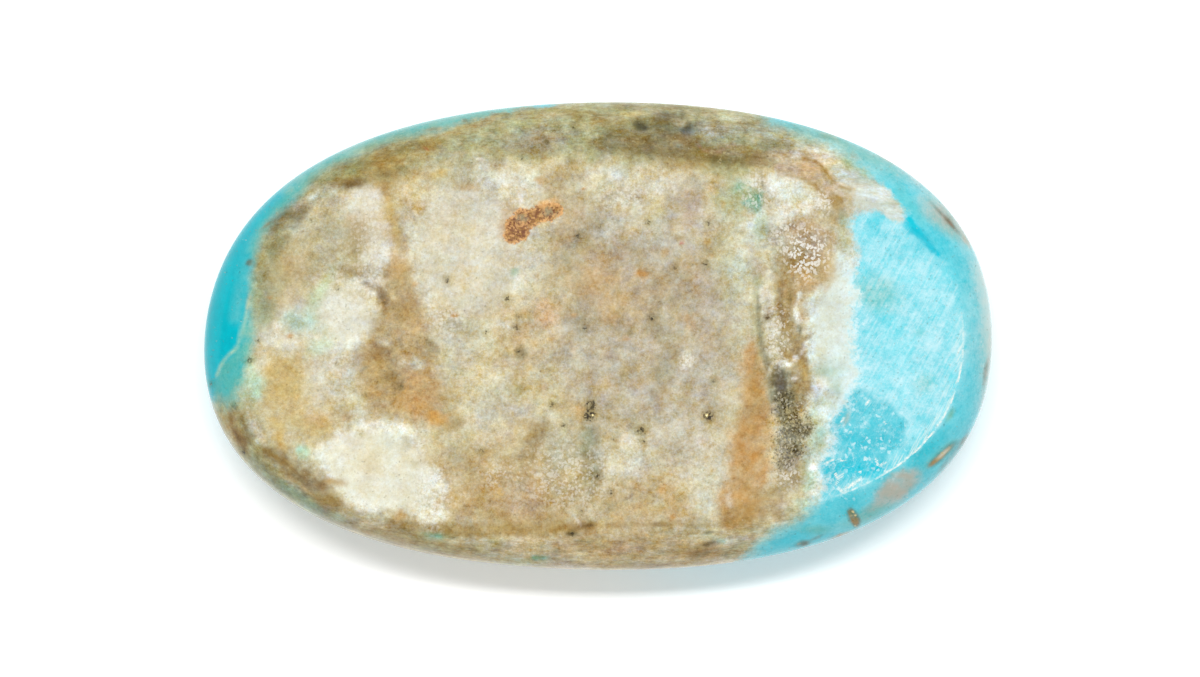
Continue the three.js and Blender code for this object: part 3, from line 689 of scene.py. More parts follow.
    ("pale", 9.7, -1.8, 0.9, 1.6, 0, 0.3, 0.35),
    ("crystal", 9.0, -1.95, 0.5, 0.5, 0, 0.6, 0.2),
    ("pale_and_sheen", 10.15, -1.9, 0.5, 0.8, 0, 0.5, 0.2),
    ("lichen", 9.7, -2.25, 0.35, 0.4, 20, 0.4, 0.15),
    ("lichen", 9.0, -1.45, 0.5, 0.35, 10, 0.5, 0.15),
    ("lichen", 9.0, -4.3, 0.5, 0.9, 0, 0.6, 0.2),
    ("teal", 9.15, -3.9, 0.45, 0.4, 0, 0.45, 0.12),
    ("lichen", 8.75, -3.1, 0.4, 1.2, 0, 0.5, 0.2),
    ("brown", 8.1, -2.3, 0.6, 0.9, 0, 0.5, 0.2),
    ("grey", 7.7, -5.8, 1.1, 1.0, 0, 0.5, 0.25),
    ("mist", 7.7, -5.8, 0.9, 0.8, 0, 0.4, 0.2),
    ("cream", 7.6, -5.6, 0.4, 0.3, 30, 0.6, 0.1),
    ("cream", 7.9, -6.1, 0.5, 0.25, -20, 0.5, 0.1),
    ("brown", 6.9, -6.7, 1.4, 1.2, 0, 0.5, 0.35),
    ("khaki", 8.2, -5.3, 0.4, 1.0, 0, 0.4, 0.2),
    ("mint", 8.6, -6.0, 0.6, 0.9, 0, 0.6, 0.2),
    ("mint", 8.3, -6.8, 0.9, 0.5, 10, 0.55, 0.15),
    ("khaki", 7.8, -7.1, 0.5, 0.4, 0, 0.5, 0.15),
    ("lichen", 8.7, -4.6, 0.6, 1.6, 0, 0.4, 0.25),
    ("crystal", 8.7, -5.3, 0.3, 0.26, 0, 0.9, 0.06),
    ("crystal", 8.7, -6.35, 0.4, 0.25, 10, 0.7, 0.08),
    ("brown", 5.6, -7.3, 1.6, 1.0, 0, 0.6, 0.35),
    ("cream", 5.3, -6.7, 0.3, 0.5, 0, 0.6, 0.1),
    ("brown", 4.0, -8.8, 2.6, 0.6, 8, 0.55, 0.25),
    ("pink", 1.6, -8.5, 2.6, 0.5, 3, 0.4, 0.2),
    ("umber", 2.2, -9.35, 1.6, 0.25, 3, 0.5, 0.15),
    ("orange", 2.4, -9.0, 0.8, 0.2, 5, 0.3, 0.1),
    ("khaki", 5.6, -8.6, 1.2, 0.5, 20, 0.5, 0.2),
    ("olive", 4.6, -8.4, 0.95, 0.22, 12, 0.75, 0.08),
    ("olive", 4.6, -7.95, 0.5, 0.1, 5, 0.8, 0.05),
    ("mint", 5.05, -8.3, 0.4, 0.15, 0, 0.7, 0.08),
    ("cream", -0.9, -7.4, 0.45, 0.12, -50, 0.9, 0.05),
    ("olive", -1.1, -8.0, 0.35, 0.16, 0, 0.75, 0.06),
    ("smoke", 2.2, 8.1, 4.6, 1.6, 0, 0.65, 0.5),
    ("umber", 2.7, 7.8, 2.6, 0.8, 5, 0.6, 0.3),
    ("umber", 4.9, 7.5, 2.6, 0.6, -3, 0.45, 0.25),
    ("mist", -2.5, 7.8, 1.8, 0.9, 0, 0.5, 0.3),
    ("smoke", -2.5, 7.7, 1.8, 0.7, 0, 0.3, 0.3),
    ("brown", -0.5, 8.8, 2.6, 0.6, 0, 0.5, 0.3),
    ("olive", -4.0, 8.1, 2.6, 0.7, 5, 0.12, 0.3),
    ("olive", 2.8, 8.75, 1.6, 0.5, 0, 0.5, 0.2),
    # Painted shade in two hollows of the upper bevel
    ("shadow", 1.72, 8.55, 0.6, 0.3, -20, 0.7, 0.12),
    ("shadow", 3.5, 8.45, 0.8, 0.34, -10, 0.65, 0.12),
    ("grey", 3.3, 8.65, 0.45, 0.2, 0, 0.8, 0.08),
    ("olive", 5.0, 7.15, 1.9, 0.5, -5, 0.6, 0.2),
    ("olive", 0.8, 7.6, 1.2, 0.5, 0, 0.25, 0.25),
    ("brown", 3.4, 6.95, 1.6, 0.35, -4, 0.5, 0.15),
    ("ochre", 1.4, 9.0, 0.8, 0.18, 0, 0.6, 0.1),
    ("grey", 6.3, 8.3, 2.4, 1.0, -8, 0.6, 0.35),
    ("smoke", 6.3, 8.3, 2.2, 0.7, -8, 0.3, 0.3),
    ("mauve", 4.5, 8.3, 1.2, 0.6, 0, 0.5, 0.2),
    ("cream", 8.3, 7.85, 2.2, 0.8, -20, 0.1, 0.3),
    ("border", 8.6, 7.6, 2.6, 0.25, -18, 0.5, 0.12),
    ("grey", 8.9, 7.8, 2.6, 0.2, -20, 0.6, 0.1),
    ("cream", 9.9, 7.1, 1.2, 0.5, -30, 0.6, 0.2),
    ("tan", 7.6, 7.25, 1.4, 0.6, 0, 0.3, 0.25),
    ("grey", 5.6, 7.5, 0.5, 0.35, 0, 0.7, 0.12),
    ("umber", 6.4, 7.15, 1.0, 0.5, 0, 0.45, 0.2),
    ("seafoam", 9.6, 8.0, 2.0, 0.45, -22, 0.65, 0.2),
    ("seafoam", 7.8, 8.65, 2.0, 0.4, -14, 0.6, 0.2),
    ("lichen", 10.6, 6.75, 1.7, 0.5, -32, 0.7, 0.2),
    ("sugar", -4.75, 7.12, 0.35, 0.12, -8, 0.8, 0.05),
    ("red", 3.39, 3.77, 0.12, 0.12, 0, 0.9, 0.05),
    ("brown", 3.25, 3.95, 0.35, 0.16, 0, 0.7, 0.08),
    ("orange", 2.7, 3.38, 0.38, 0.32, 0, 0.7, 0.1),
    ("orange", 1.8, 2.5, 0.42, 0.26, -15, 0.8, 0.1),
    ("red", -6.95, 7.58, 0.18, 0.12, -20, 0.7, 0.06),
    ("orange", -13.3, 1.55, 0.16, 0.14, 0, 0.9, 0.05),
    ("orange", -12.45, 0.0, 0.22, 0.16, 0, 0.9, 0.06),
    ("orange", 1.15, -0.12, 0.3, 0.13, 0, 0.6, 0.06),
    ("orange", -5.8, 0.83, 0.25, 0.13, 0, 0.8, 0.06),
    ("orange", -7.4, 2.1, 0.22, 0.2, 0, 0.6, 0.08),
    ("orange", 2.98, -7.33, 0.24, 0.24, 0, 0.8, 0.07),
    ("orange", 2.6, -6.2, 0.3, 0.3, 0, 0.4, 0.1),
    ("orange", -0.6, 5.95, 0.16, 0.1, 0, 0.9, 0.05),
    ("orange", -0.95, 0.85, 0.3, 0.2, 0, 0.5, 0.08),
    ("orange", 0.85, 5.3, 0.14, 0.3, 0, 0.5, 0.06),
    ("orange", 0.82, 5.9, 0.14, 0.14, 0, 0.6, 0.06),
    ("ochre", 5.05, 5.3, 0.2, 0.3, 0, 0.7, 0.08),
    ("ochre", 4.4, 3.8, 0.3, 0.3, 0, 0.5, 0.1),
    ("ochre", -2.75, -1.3, 0.2, 0.2, 0, 0.7, 0.08),
    ("orange", -2.2, -2.1, 0.25, 0.2, 0, 0.4, 0.1),
    ("brown", 6.35, -2.4, 0.7, 2.6, 0, 0.35, 0.25),
    ("orange", 5.5, -5.7, 0.18, 0.18, 0, 0.6, 0.08),
    ("orange", 3.3, -2.7, 0.3, 0.3, 0, 0.3, 0.12),
    ("pink", -1.2, -6.95, 0.15, 0.15, 0, 0.8, 0.06),
]

# The open seam, painted over all the rest: dark rock with painted shade in its hollows, greenish rock and
# pale crystals
SEAM_AREA = [(6.95, -1.2), (7.7, -1.25), (7.78, -2.1), (7.95, -2.6), (8.2, -3.1), (8.55, -3.6), (8.55, -4.0),
             (8.3, -4.5), (8.1, -4.9), (7.8, -5.3), (7.3, -5.3), (7.2, -4.6), (7.35, -3.8), (7.3, -3.0),
             (7.1, -2.2)]
SEAM_SPOTS = [
    ("grey", 7.7, -4.2, 1.0, 2.2, 0, 0.7, 0.4),
    ("cream", 7.6, -4.6, 0.9, 1.4, 0, 0.5, 0.3),
    ("olive", 7.35, -1.95, 0.6, 1.6, 5, 1.5, 0.15),
    # Shadow spots: painted shade in the seam's hollows
    ("shadow", 7.33, -2.05, 0.45, 1.4, 5, 0.5, 0.12),
    ("mist", 7.4, -1.85, 0.35, 1.2, 5, 0.22, 0.12),
    ("shadow", 8.3, -3.8, 0.6, 0.5, 0, 0.4, 0.15),
    ("grey", 7.7, -2.1, 0.08, 0.9, -2, 0.8, 0.04),
    ("cream", 7.3, -4.0, 0.2, 0.6, 10, 0.5, 0.1),
    ("cream", 8.15, -4.85, 0.5, 0.16, -25, 0.9, 0.06),
    ("cream", 8.25, -5.1, 0.16, 0.4, 0, 0.8, 0.06),
    ("cream", 7.85, -5.05, 0.4, 0.14, 30, 0.8, 0.06),
    ("shadow", 7.95, -4.6, 0.5, 0.26, 0, 0.6, 0.08),
    ("grey", 7.45, -5.0, 0.3, 0.2, 0, 0.5, 0.08),
]

# Turquoise, seen and written in the same ways
BLUE_AREAS = [
    ("blue", 1.6, 1.2, [(-17, 9), (-7, 9.5), (-7, 7), (-12, 4), (-13, -4), (-17, -4)]),
    # The lapped back's turquoise, paler partly by painted sheen
    ("veiled", 1.0, 0.5, [(10.0, 5.3), (11.5, 5.2), (12.3, 4.4), (13.3, 3.6), (14.2, 2.4), (14.75, 0.6),
                          (14.85, -1.2), (14.6, -2.4), (13.9, -3.3), (13.0, -4.2), (11.6, -5.2), (9.5, -6.4),
                          (8.0, -6.6), (8.0, 4.0)]),
    ("deep", 0.95, 0.12, [(9.4, -3.0), (9.7, -2.5), (10.3, -2.4), (10.5, -2.1), (11.0, -2.2), (11.3, -2.6),
                         (11.8, -2.6), (12.0, -3.1), (12.5, -3.4), (12.4, -3.9), (12.2, -4.2), (12.5, -4.5),
                         (11.8, -4.7), (11.5, -5.2), (11.2, -5.0), (11.0, -5.5), (10.6, -5.9), (9.9, -5.9),
                         (9.1, -6.1), (8.8, -5.3), (9.1, -4.7), (9.3, -4.0)]),
    ("lagoon", 0.9, 0.15, [(-15.5, -1.6), (-15.0, -0.95), (-14.6, -0.4), (-14.35, 0.3), (-14.2, 1.0),
                           (-13.6, 0.6), (-13.6, -1.0), (-13.9, -2.4), (-14.8, -3.2), (-15.6, -2.8)]),
    ("bright", 0.95, 0.1, [(12.5, 4.95), (12.75, 4.75), (13.0, 4.4), (13.45, 3.85), (13.9, 3.1), (13.6, 3.35),
                           (13.1, 3.85), (12.3, 4.35), (12.35, 4.6)]),
]
BLUE_VEINS = [
    ("mint", 0.7, 0.08, 0.1, [(-14.05, 1.8), (-14.15, 1.2), (-14.3, 0.6), (-14.45, 0.1), (-14.6, -0.5),
                              (-15.0, -0.8), (-15.3, -1.2), (-15.45, -1.6)]),
    # Painted reflection: pale bands along the right and upper right rim, where the steep bevel mirrors the
    # pale surroundings
    ("pale", 1.2, 0.7, 1.3, [(16.3, -3.0), (16.2, 0.0), (16.0, 2.2), (15.3, 4.4), (13.6, 6.4), (11.4, 7.6)]),
    ("seafoam", 0.3, 0.4, 0.7, [(16.0, -2.4), (15.9, -1.0), (15.9, 0.0)]),
    ("pale", 0.4, 0.4, 0.7, [(15.0, 2.0), (15.1, 0.4), (14.9, -0.8)]),
    ("border", 0.6, 0.5, 0.7, [(16.1, -1.5), (16.0, 0.6), (15.7, 2.6)]),
    ("mauve", 0.4, 0.4, 0.6, [(15.2, 4.4), (14.0, 6.0), (12.6, 6.9)]),
    ("teal", 0.25, 0.25, 0.4, [(12.2, 5.9), (12.7, 5.3), (13.2, 4.7)]),
    ("pale", 0.35, 0.3, 0.8, [(12.0, 6.9), (10.6, 7.5), (9.5, 8.0)]),
    ("seafoam", 0.65, 0.3, 0.8, [(-3.0, 9.4), (-5.0, 9.0), (-7.0, 8.6), (-9.0, 8.0), (-11.0, 7.0),
                                 (-12.4, 6.0)]),
    ("teal", 0.55, 0.25, 0.45, [(-3.0, 9.3), (-5.0, 8.9), (-7.0, 8.4), (-9.0, 7.8), (-10.5, 7.1),
                                (-11.8, 6.3), (-12.6, 5.5), (-13.4, 4.7), (-13.9, 3.4)]),
    ("seafoam", 0.3, 0.3, 0.5, [(-13.8, 4.0), (-14.2, 3.0), (-14.4, 2.0), (-14.6, 0.8)]),
    ("mauve", 0.8, 0.06, 0.12, [(11.4, 7.35), (12.8, 6.6), (14.0, 5.5), (14.9, 4.3)]),
    ("mauve", 0.5, 0.15, 0.25, [(16.05, 0.2), (15.9, -1.5), (15.6, -3.0)]),
]
BLUE_SPOTS = [
    ("sky", 11.2, 4.3, 2.6, 0.9, -15, 0.45, 0.5),
    ("bright", 12.4, 5.6, 2.4, 1.0, -48, 0.1, 0.4),
    ("teal", 9.6, 7.9, 3.4, 0.6, -20, 0.45, 0.3),
    ("teal", 11.4, 7.0, 2.0, 0.8, -32, 0.3, 0.3),
    ("bright", 9.5, -5.7, 1.4, 1.2, 10, 0.5, 0.3),
    ("seafoam", 11.3, 1.75, 1.7, 1.2, -20, 0.55, 0.5),
    ("seafoam", 11.2, 1.3, 0.6, 0.5, 0, 0.3, 0.25),
    ("seafoam", 13.2, -1.9, 0.8, 0.7, 20, 0.35, 0.3),
    ("seafoam", 13.0, 0.15, 0.3, 0.25, 0, 0.4, 0.15),
    ("sky", 14.1, -0.55, 0.2, 0.15, 0, 0.6, 0.08),
    ("sky", 13.1, -3.3, 0.3, 0.2, 0, 0.5, 0.1),
    ("bright", 10.8, -5.35, 1.6, 0.8, 5, 1.0, 0.25),
    ("bright", 10.3, -4.2, 0.8, 1.4, 20, 0.25, 0.4),
    ("mauve", 10.05, -3.35, 0.2, 0.6, -20, 0.6, 0.08),
    ("mint", -14.1, -0.6, 0.4, 1.6, 0, 0.5, 0.2),
    ("seafoam", 14.2, 4.75, 2.2, 1.0, -42, 0.5, 0.3),
    ("mauve", 14.0, 4.75, 2.1, 0.8, -42, 0.7, 0.3),
    ("olive", 14.1, 4.75, 1.3, 0.14, -48, 0.7, 0.07),
    ("umber", 14.35, 4.5, 0.5, 0.12, -50, 0.6, 0.06),
    ("tan", 14.9, 3.95, 0.7, 0.2, -55, 0.5, 0.1),
    ("lichen", 9.4, 8.05, 1.8, 0.4, -22, 0.5, 0.2),
    ("bright", 7.5, -8.2, 2.4, 0.7, 12, 0.35, 0.3),
    ("teal", 11.1, -7.1, 1.4, 0.5, 28, 0.4, 0.2),
    ("sky", 13.4, -4.6, 2.6, 0.8, 48, 0.3, 0.3),
    ("blue", 13.3, -4.6, 2.0, 0.7, 45, 0.45, 0.3),
    ("seafoam", 11.0, -7.25, 2.4, 0.5, 20, 0.5, 0.2),
    ("mauve", 12.15, -6.1, 1.9, 1.05, 32, 0.9, 0.18),
    ("mauve", 11.2, -6.85, 0.9, 0.3, 35, 0.4, 0.12),
    ("teal", 14.25, -3.2, 0.22, 0.55, -30, 0.7, 0.08),
    ("teal", 13.85, -4.8, 1.3, 0.35, 42, 0.5, 0.15),
    ("olive", 13.95, -4.8, 1.3, 0.3, 42, 0.6, 0.1),
    ("tan", 13.9, -4.85, 1.0, 0.17, 42, 0.95, 0.05),
    ("cream", 14.0, -4.75, 0.5, 0.1, 42, 0.8, 0.05),
    ("brown", 13.55, -5.15, 0.35, 0.16, 42, 0.8, 0.05),
    ("olive", 10.35, -7.35, 0.42, 0.9, 28, 0.7, 0.06),
    ("brown", 10.33, -7.35, 0.3, 0.75, 28, 0.9, 0.05),
    ("umber", 15.72, -1.45, 0.16, 0.95, -10, 0.7, 0.06),
    ("umber", 14.85, -4.25, 0.2, 0.6, -30, 0.6, 0.08),
    ("smoke", 14.3, -5.0, 1.6, 0.35, 55, 0.4, 0.15),
    ("brown", 9.9, -8.12, 0.9, 0.22, 18, 0.75, 0.07),
    ("olive", 8.3, -8.42, 0.55, 0.24, 8, 0.7, 0.08),
    ("olive", 8.85, -8.18, 0.5, 0.1, 25, 0.6, 0.05),
    ("teal", 8.8, -7.85, 1.0, 0.35, 0, 0.5, 0.15),
    ("olive", -14.1, 2.97, 0.28, 0.24, 20, 0.75, 0.08),
    ("smoke", -13.4, 4.5, 0.6, 0.1, 35, 0.8, 0.05),
    ("smoke", -6.6, 8.38, 0.8, 0.14, 6, 0.65, 0.07),
    ("olive", -5.38, 8.74, 0.25, 0.16, 0, 0.7, 0.06),
]

# Crisp white chips in the turquoise: x, y, length, width and turn
CHIPS = [
    (9.35, -5.08, 0.4, 0.08, 25), (9.85, -5.02, 0.3, 0.08, -8), (9.62, -5.6, 0.12, 0.24, 0),
    (9.78, -5.75, 0.1, 0.2, 20), (9.65, -5.95, 0.1, 0.24, 0), (9.78, -6.2, 0.12, 0.34, 25),
    (9.95, -6.3, 0.1, 0.16, 30), (10.05, -6.12, 0.09, 0.24, -20), (10.2, -6.05, 0.09, 0.22, -20),
    (10.34, -5.98, 0.09, 0.24, -20), (10.48, -5.88, 0.09, 0.22, -20), (10.6, -5.76, 0.09, 0.2, -20),
    (9.9, -5.6, 0.09, 0.14, -20), (11.25, -5.0, 0.12, 0.3, 30), (11.35, -5.2, 0.3, 0.12, -45),
    (11.6, -5.15, 0.2, 0.08, 30), (10.8, -5.0, 0.14, 0.1, 10), (9.45, -3.3, 0.4, 0.08, 60),
    (11.6, -3.5, 0.2, 0.1, -20), (10.2, -3.9, 0.14, 0.12, 0), (10.9, -2.7, 0.24, 0.1, 50),
    (10.6, -5.5, 0.14, 0.1, -10), (9.9, -3.4, 0.24, 0.1, 60),
]

# Dark ore grains: x, y and their width across
ORE_GRAINS = [
    (-6.1, 2.25, 0.2), (-3.7, 1.55, 0.24), (-3.25, 0.8, 0.16), (-3.3, 0.35, 0.2), (-4.55, 0.15, 0.16),
    (-3.22, -0.6, 0.14), (-3.02, -0.8, 0.14), (-3.1, -0.5, 0.1), (-3.25, -0.82, 0.1), (-1.87, -2.78, 0.2),
    (-0.3, -2.8, 0.42), (-0.35, -3.2, 0.5), (0.4, -2.8, 0.1), (-1.4, -3.6, 0.18), (0.65, -4.15, 0.16),
    (0.67, -4.5, 0.12), (1.75, -3.85, 0.34), (1.85, -4.25, 0.16), (-4.7, -4.65, 0.18), (0.0, -5.7, 0.2),
    (-0.78, 4.05, 0.2), (3.12, 2.8, 0.16), (4.35, 2.97, 0.24), (4.45, 4.55, 0.2), (2.2, 0.72, 0.2),
    (-0.55, 0.3, 0.16), (-2.1, 7.85, 0.2), (-1.0, 8.48, 0.12), (4.45, -3.22, 0.42), (4.65, -1.87, 0.1),
    (-5.15, 7.0, 0.12), (-14.15, -1.0, 0.2), (-13.98, -0.93, 0.18), (-13.75, -0.2, 0.12),
    (-14.72, -2.82, 0.12), (-15.7, -1.95, 0.12), (-14.35, -4.7, 0.2), (-10.56, 1.9, 0.16),
    (-11.6, 4.67, 0.12), (-11.6, 3.25, 0.1), (-9.6, -3.97, 0.08), (-1.05, -8.0, 0.16), (-0.3, -7.68, 0.14),
    (-3.1, 7.2, 0.12), (2.05, 4.6, 0.18), (-9.4, -2.4, 0.12), (0.05, 4.45, 0.14), (-0.7, -7.1, 0.12),
    (0.55, -6.35, 0.14), (3.1, -3.15, 0.1), (-0.1, 7.75, 0.12), (1.3, 0.1, 0.08), (-8.0, -2.05, 0.2),
    (-10.55, -1.1, 0.08), (6.85, 0.75, 0.16), (14.2, 4.7, 0.1),
]

# Painted glints of tiny ore faces, and sugary crystals: x, y, length, width, turn and strength
GLITTER = [
    (7.75, -3.3, 0.9, 1.6, 5, 0.5), (7.55, -4.5, 0.7, 1.4, 0, 0.55), (8.2, -3.7, 0.7, 0.8, 0, 0.3),
    (2.0, 7.9, 4.6, 0.9, 0, 0.35), (4.9, 7.3, 1.8, 0.6, 0, 0.45), (10.3, -7.35, 0.4, 0.8, 28, 1.0),
    (13.95, -4.75, 0.9, 0.14, 42, 0.6), (-0.35, -3.2, 0.4, 0.25, 0, 0.9), (4.42, -3.25, 0.3, 0.25, 0, 0.9),
    (-3.15, -0.65, 0.3, 0.3, 0, 0.5), (8.3, -8.42, 0.5, 0.22, 8, 0.5), (-2.37, 5.03, 0.25, 0.2, 0, 0.9),
]
SUGAR = [
    (8.4, 3.4, 1.8, 1.9, 0, 1.0), (8.2, 3.3, 1.0, 1.2, 0, 1.4), (9.1, 5.4, 0.7, 0.9, 0, 0.7),
    (7.6, 4.2, 1.0, 1.2, 0, 0.6), (6.4, 5.8, 1.4, 1.6, 0, 0.5), (-9.4, 3.4, 1.4, 4.6, 0, 0.25),
    (-10.2, 1.6, 2.6, 2.4, 0, 0.25), (-6.7, -6.4, 1.4, 2.6, 0, 0.5), (7.3, 0.0, 1.0, 2.4, 0, 0.5),
    (7.7, -5.7, 1.0, 1.0, 0, 0.6), (-1.2, -5.6, 3.6, 2.6, 0, 0.35), (1.0, 5.6, 1.6, 1.2, 0, 0.35),
    (-3.8, -5.6, 2.0, 1.0, 0, 0.3), (3.6, -1.0, 0.6, 0.8, 0, 0.5), (-6.2, 0.6, 1.6, 1.2, 0, 0.35),
    (9.2, -5.6, 1.4, 2.0, 0, 0.4),
]

# Where the rock is mottled more or less than elsewhere: x, y, length, width, turn and how strongly
CONTRASTS = [
    (-5.2, 3.4, 4.4, 5.0, 0, 0.65), (-12.4, -1.0, 3.0, 9.0, 0, 0.8), (-10.3, 0.9, 2.6, 2.4, 0, 0.5),
    (-9.4, 4.4, 1.6, 3.4, 0, 0.6), (-8.9, -5.4, 4.6, 3.2, -20, 0.42), (-1.0, -6.2, 10.0, 2.6, 0, 1.1),
    (-7.9, -1.4, 2.6, 4.0, 0, 1.1), (9.9, 0.0, 2.4, 6.0, 0, 0.4), (11.3, 5.5, 3.4, 1.4, -35, 0.4),
    (8.0, 3.4, 2.6, 3.0, 0, 1.2), (7.7, -0.2, 1.6, 3.6, 0, 1.3), (7.8, -3.6, 1.8, 3.6, 0, 1.4),
    (1.0, 8.3, 13.0, 1.9, 0, 1.2), (-2.0, -8.8, 14.0, 1.6, 0, 1.15), (6.0, -5.0, 1.6, 6.0, 0, 0.75),
]

# Where iron has stained the rock in flecks: x, y, length, width, turn and how much
IRON = [
    (-2.0, 0.0, 16.0, 14.0, 0, 0.45), (-2.5, 0.3, 2.4, 6.0, 0, 0.8), (-7.8, -0.8, 3.0, 7.0, 10, 1.0),
    (-3.0, -5.8, 9.0, 3.2, 0, 1.0), (-12.0, -2.4, 3.4, 4.6, 0, 0.9), (6.0, -4.8, 2.0, 7.0, 0, 0.8),
    (8.2, 1.4, 2.2, 7.0, 0, 0.9), (1.0, -8.7, 12.0, 1.4, 0, 0.8), (-9.0, 7.0, 5.0, 2.0, 20, 0.8),
    (-11.5, 3.4, 3.0, 3.4, 0, 0.5), (4.2, 6.8, 3.0, 1.0, 0, 0.7), (1.0, 2.6, 3.0, 2.4, 0, 0.7),
    (8.8, 6.2, 3.0, 1.6, -30, 0.8),
]

# The rust-coloured pocket, as a chain of round lobes: x, y and width across
RUST_LOBES = [(-3.45, 4.08, 0.75), (-3.12, 4.2, 0.72), (-3.38, 4.5, 0.75), (-3.1, 4.85, 0.65),
              (-2.75, 4.75, 0.8), (-2.35, 4.93, 0.75), (-2.0, 5.0, 0.75), (-1.7, 5.08, 0.6)]

# Grey inclusions of that pocket, pale flecks in the turquoise, its lace along the host rock, where a
# highlight is painted along the crease, where lapping left few pale scratches and little painted sheen, where
# the left lobe ends softly, and where the crust is crisp: x, y, length, width, turn and how much
RUST_GREY = [(-3.08, 4.76, 0.5, 0.3, 0, 0.9), (-2.02, 5.02, 0.4, 0.4, 0, 0.9),
             (-1.62, 4.9, 0.25, 0.25, 0, 0.9)]
FLECKS = [(10.9, -4.2, 3.6, 3.4, 0, 0.9), (11.0, 3.9, 2.4, 1.6, 0, 0.35), (10.2, -6.0, 1.6, 1.1, 0, 1.2),
          (12.4, -0.4, 5.0, 6.0, 0, 0.25)]
LACE = [(10.4, 0.6, 1.8, 6.4, 0, 1.0), (9.9, -2.6, 1.8, 1.6, 0, 0.9), (9.3, -4.9, 1.3, 3.4, 0, 1.0)]
CREASE_HIGHLIGHT = [(14.4, -1.4, 2.0, 4.4, 12, 1.0), (12.9, -4.2, 4.6, 1.6, 40, 1.0), (10.4, -5.9, 2.4, 1.2, 20, 0.5)]
CLEAR = [(13.15, 4.1, 2.2, 0.8, -52, 1.0), (10.9, -4.2, 3.6, 3.4, 0, 0.5)]
SOFT_END = (-14.9, -2.8, 2.6, 1.6, 0, 1.0)
CRISP_CRUST = (11.5, 5.4, 3.2, 2.2, -38, 1.0)

# Hollows of the surface: x, y, length, width, turn and depth
HOLLOWS = [
    (-3.25, 4.3, 1.1, 1.2, 0, 0.1), (-2.2, 4.95, 1.8, 0.8, 12, 0.08), (7.3, -1.9, 0.5, 1.6, 4, 0.14),
    (7.75, -3.4, 1.3, 2.2, 5, 0.16), (7.6, -4.7, 1.0, 1.4, 0, 0.12), (8.45, 3.5, 2.0, 2.2, 0, 0.06),
    (-0.33, -3.0, 0.6, 1.0, 0, 0.06), (1.78, -3.95, 0.5, 0.6, 0, 0.05), (-3.13, -0.65, 0.6, 0.6, 0, 0.05),
    (4.45, -3.22, 0.55, 0.5, 0, 0.06), (-0.9, -7.45, 0.6, 0.2, -50, 0.06), (-0.3, -7.68, 0.7, 0.2, 12, 0.06),
    (1.7, 8.5, 1.0, 0.5, 0, 0.14), (3.5, 8.45, 1.2, 0.5, -8, 0.14), (4.9, 7.2, 1.6, 0.5, -5, 0.06),
    (2.6, 7.6, 2.0, 0.4, 0, 0.04), (9.6, 5.6, 0.9, 0.5, -50, 0.05), (8.6, 6.5, 1.2, 0.3, -25, 0.05),
    (-9.9, 2.6, 1.4, 0.4, 0, 0.03), (-8.8, 1.6, 0.9, 0.9, 0, 0.03), (2.6, -7.65, 0.7, 0.12, 0, 0.03),
]


def paint(canvas, start, palette, areas, veins, spots, ragged=1.0):
    """Colours of all places: the start colour, with each marking laid over it in turn at its strength."""
    canvas.ragged = ragged
    colours = np.tile(np.array(palette[start]), (len(canvas.x), 1))

    def lay(name, cover):
        colours[:] = colours * (1 - cover[:, None]) + np.array(palette[name]) * cover[:, None]

    for name, strength, softness, points in areas:
        lay(name, canvas.mottled(*points[0], strength, softness, canvas.area(points)))
    for name, strength, softness, width, points in veins:
        lay(name, canvas.mottled(*points[0], strength, softness, canvas.vein(points, width)))
    for name, x, y, length, width, turn, strength, softness in spots:
        lay(name, canvas.mottled(x, y, strength, softness, canvas.spot(x, y, length, width, turn)))
    return colours


def amount(canvas, patches):
    """How much of something there is at each place, from 0 to 1: the strongest of its soft patches."""
    most = np.zeros(len(canvas.x))
    for x, y, length, width, turn, strength in patches:
        soft = min(length, width) * 0.3
        most = np.maximum(most, strength * smooth_step(soft, -soft, canvas.spot(x, y, length, width, turn)))
    return most


def nearest_round(canvas, rounds):
    """Distance to the edge of the nearest of several round grains."""
    distances = [np.hypot(canvas.x - x, canvas.y - y) - width / 2 for x, y, width in rounds]
    return np.min(distances, axis=0)


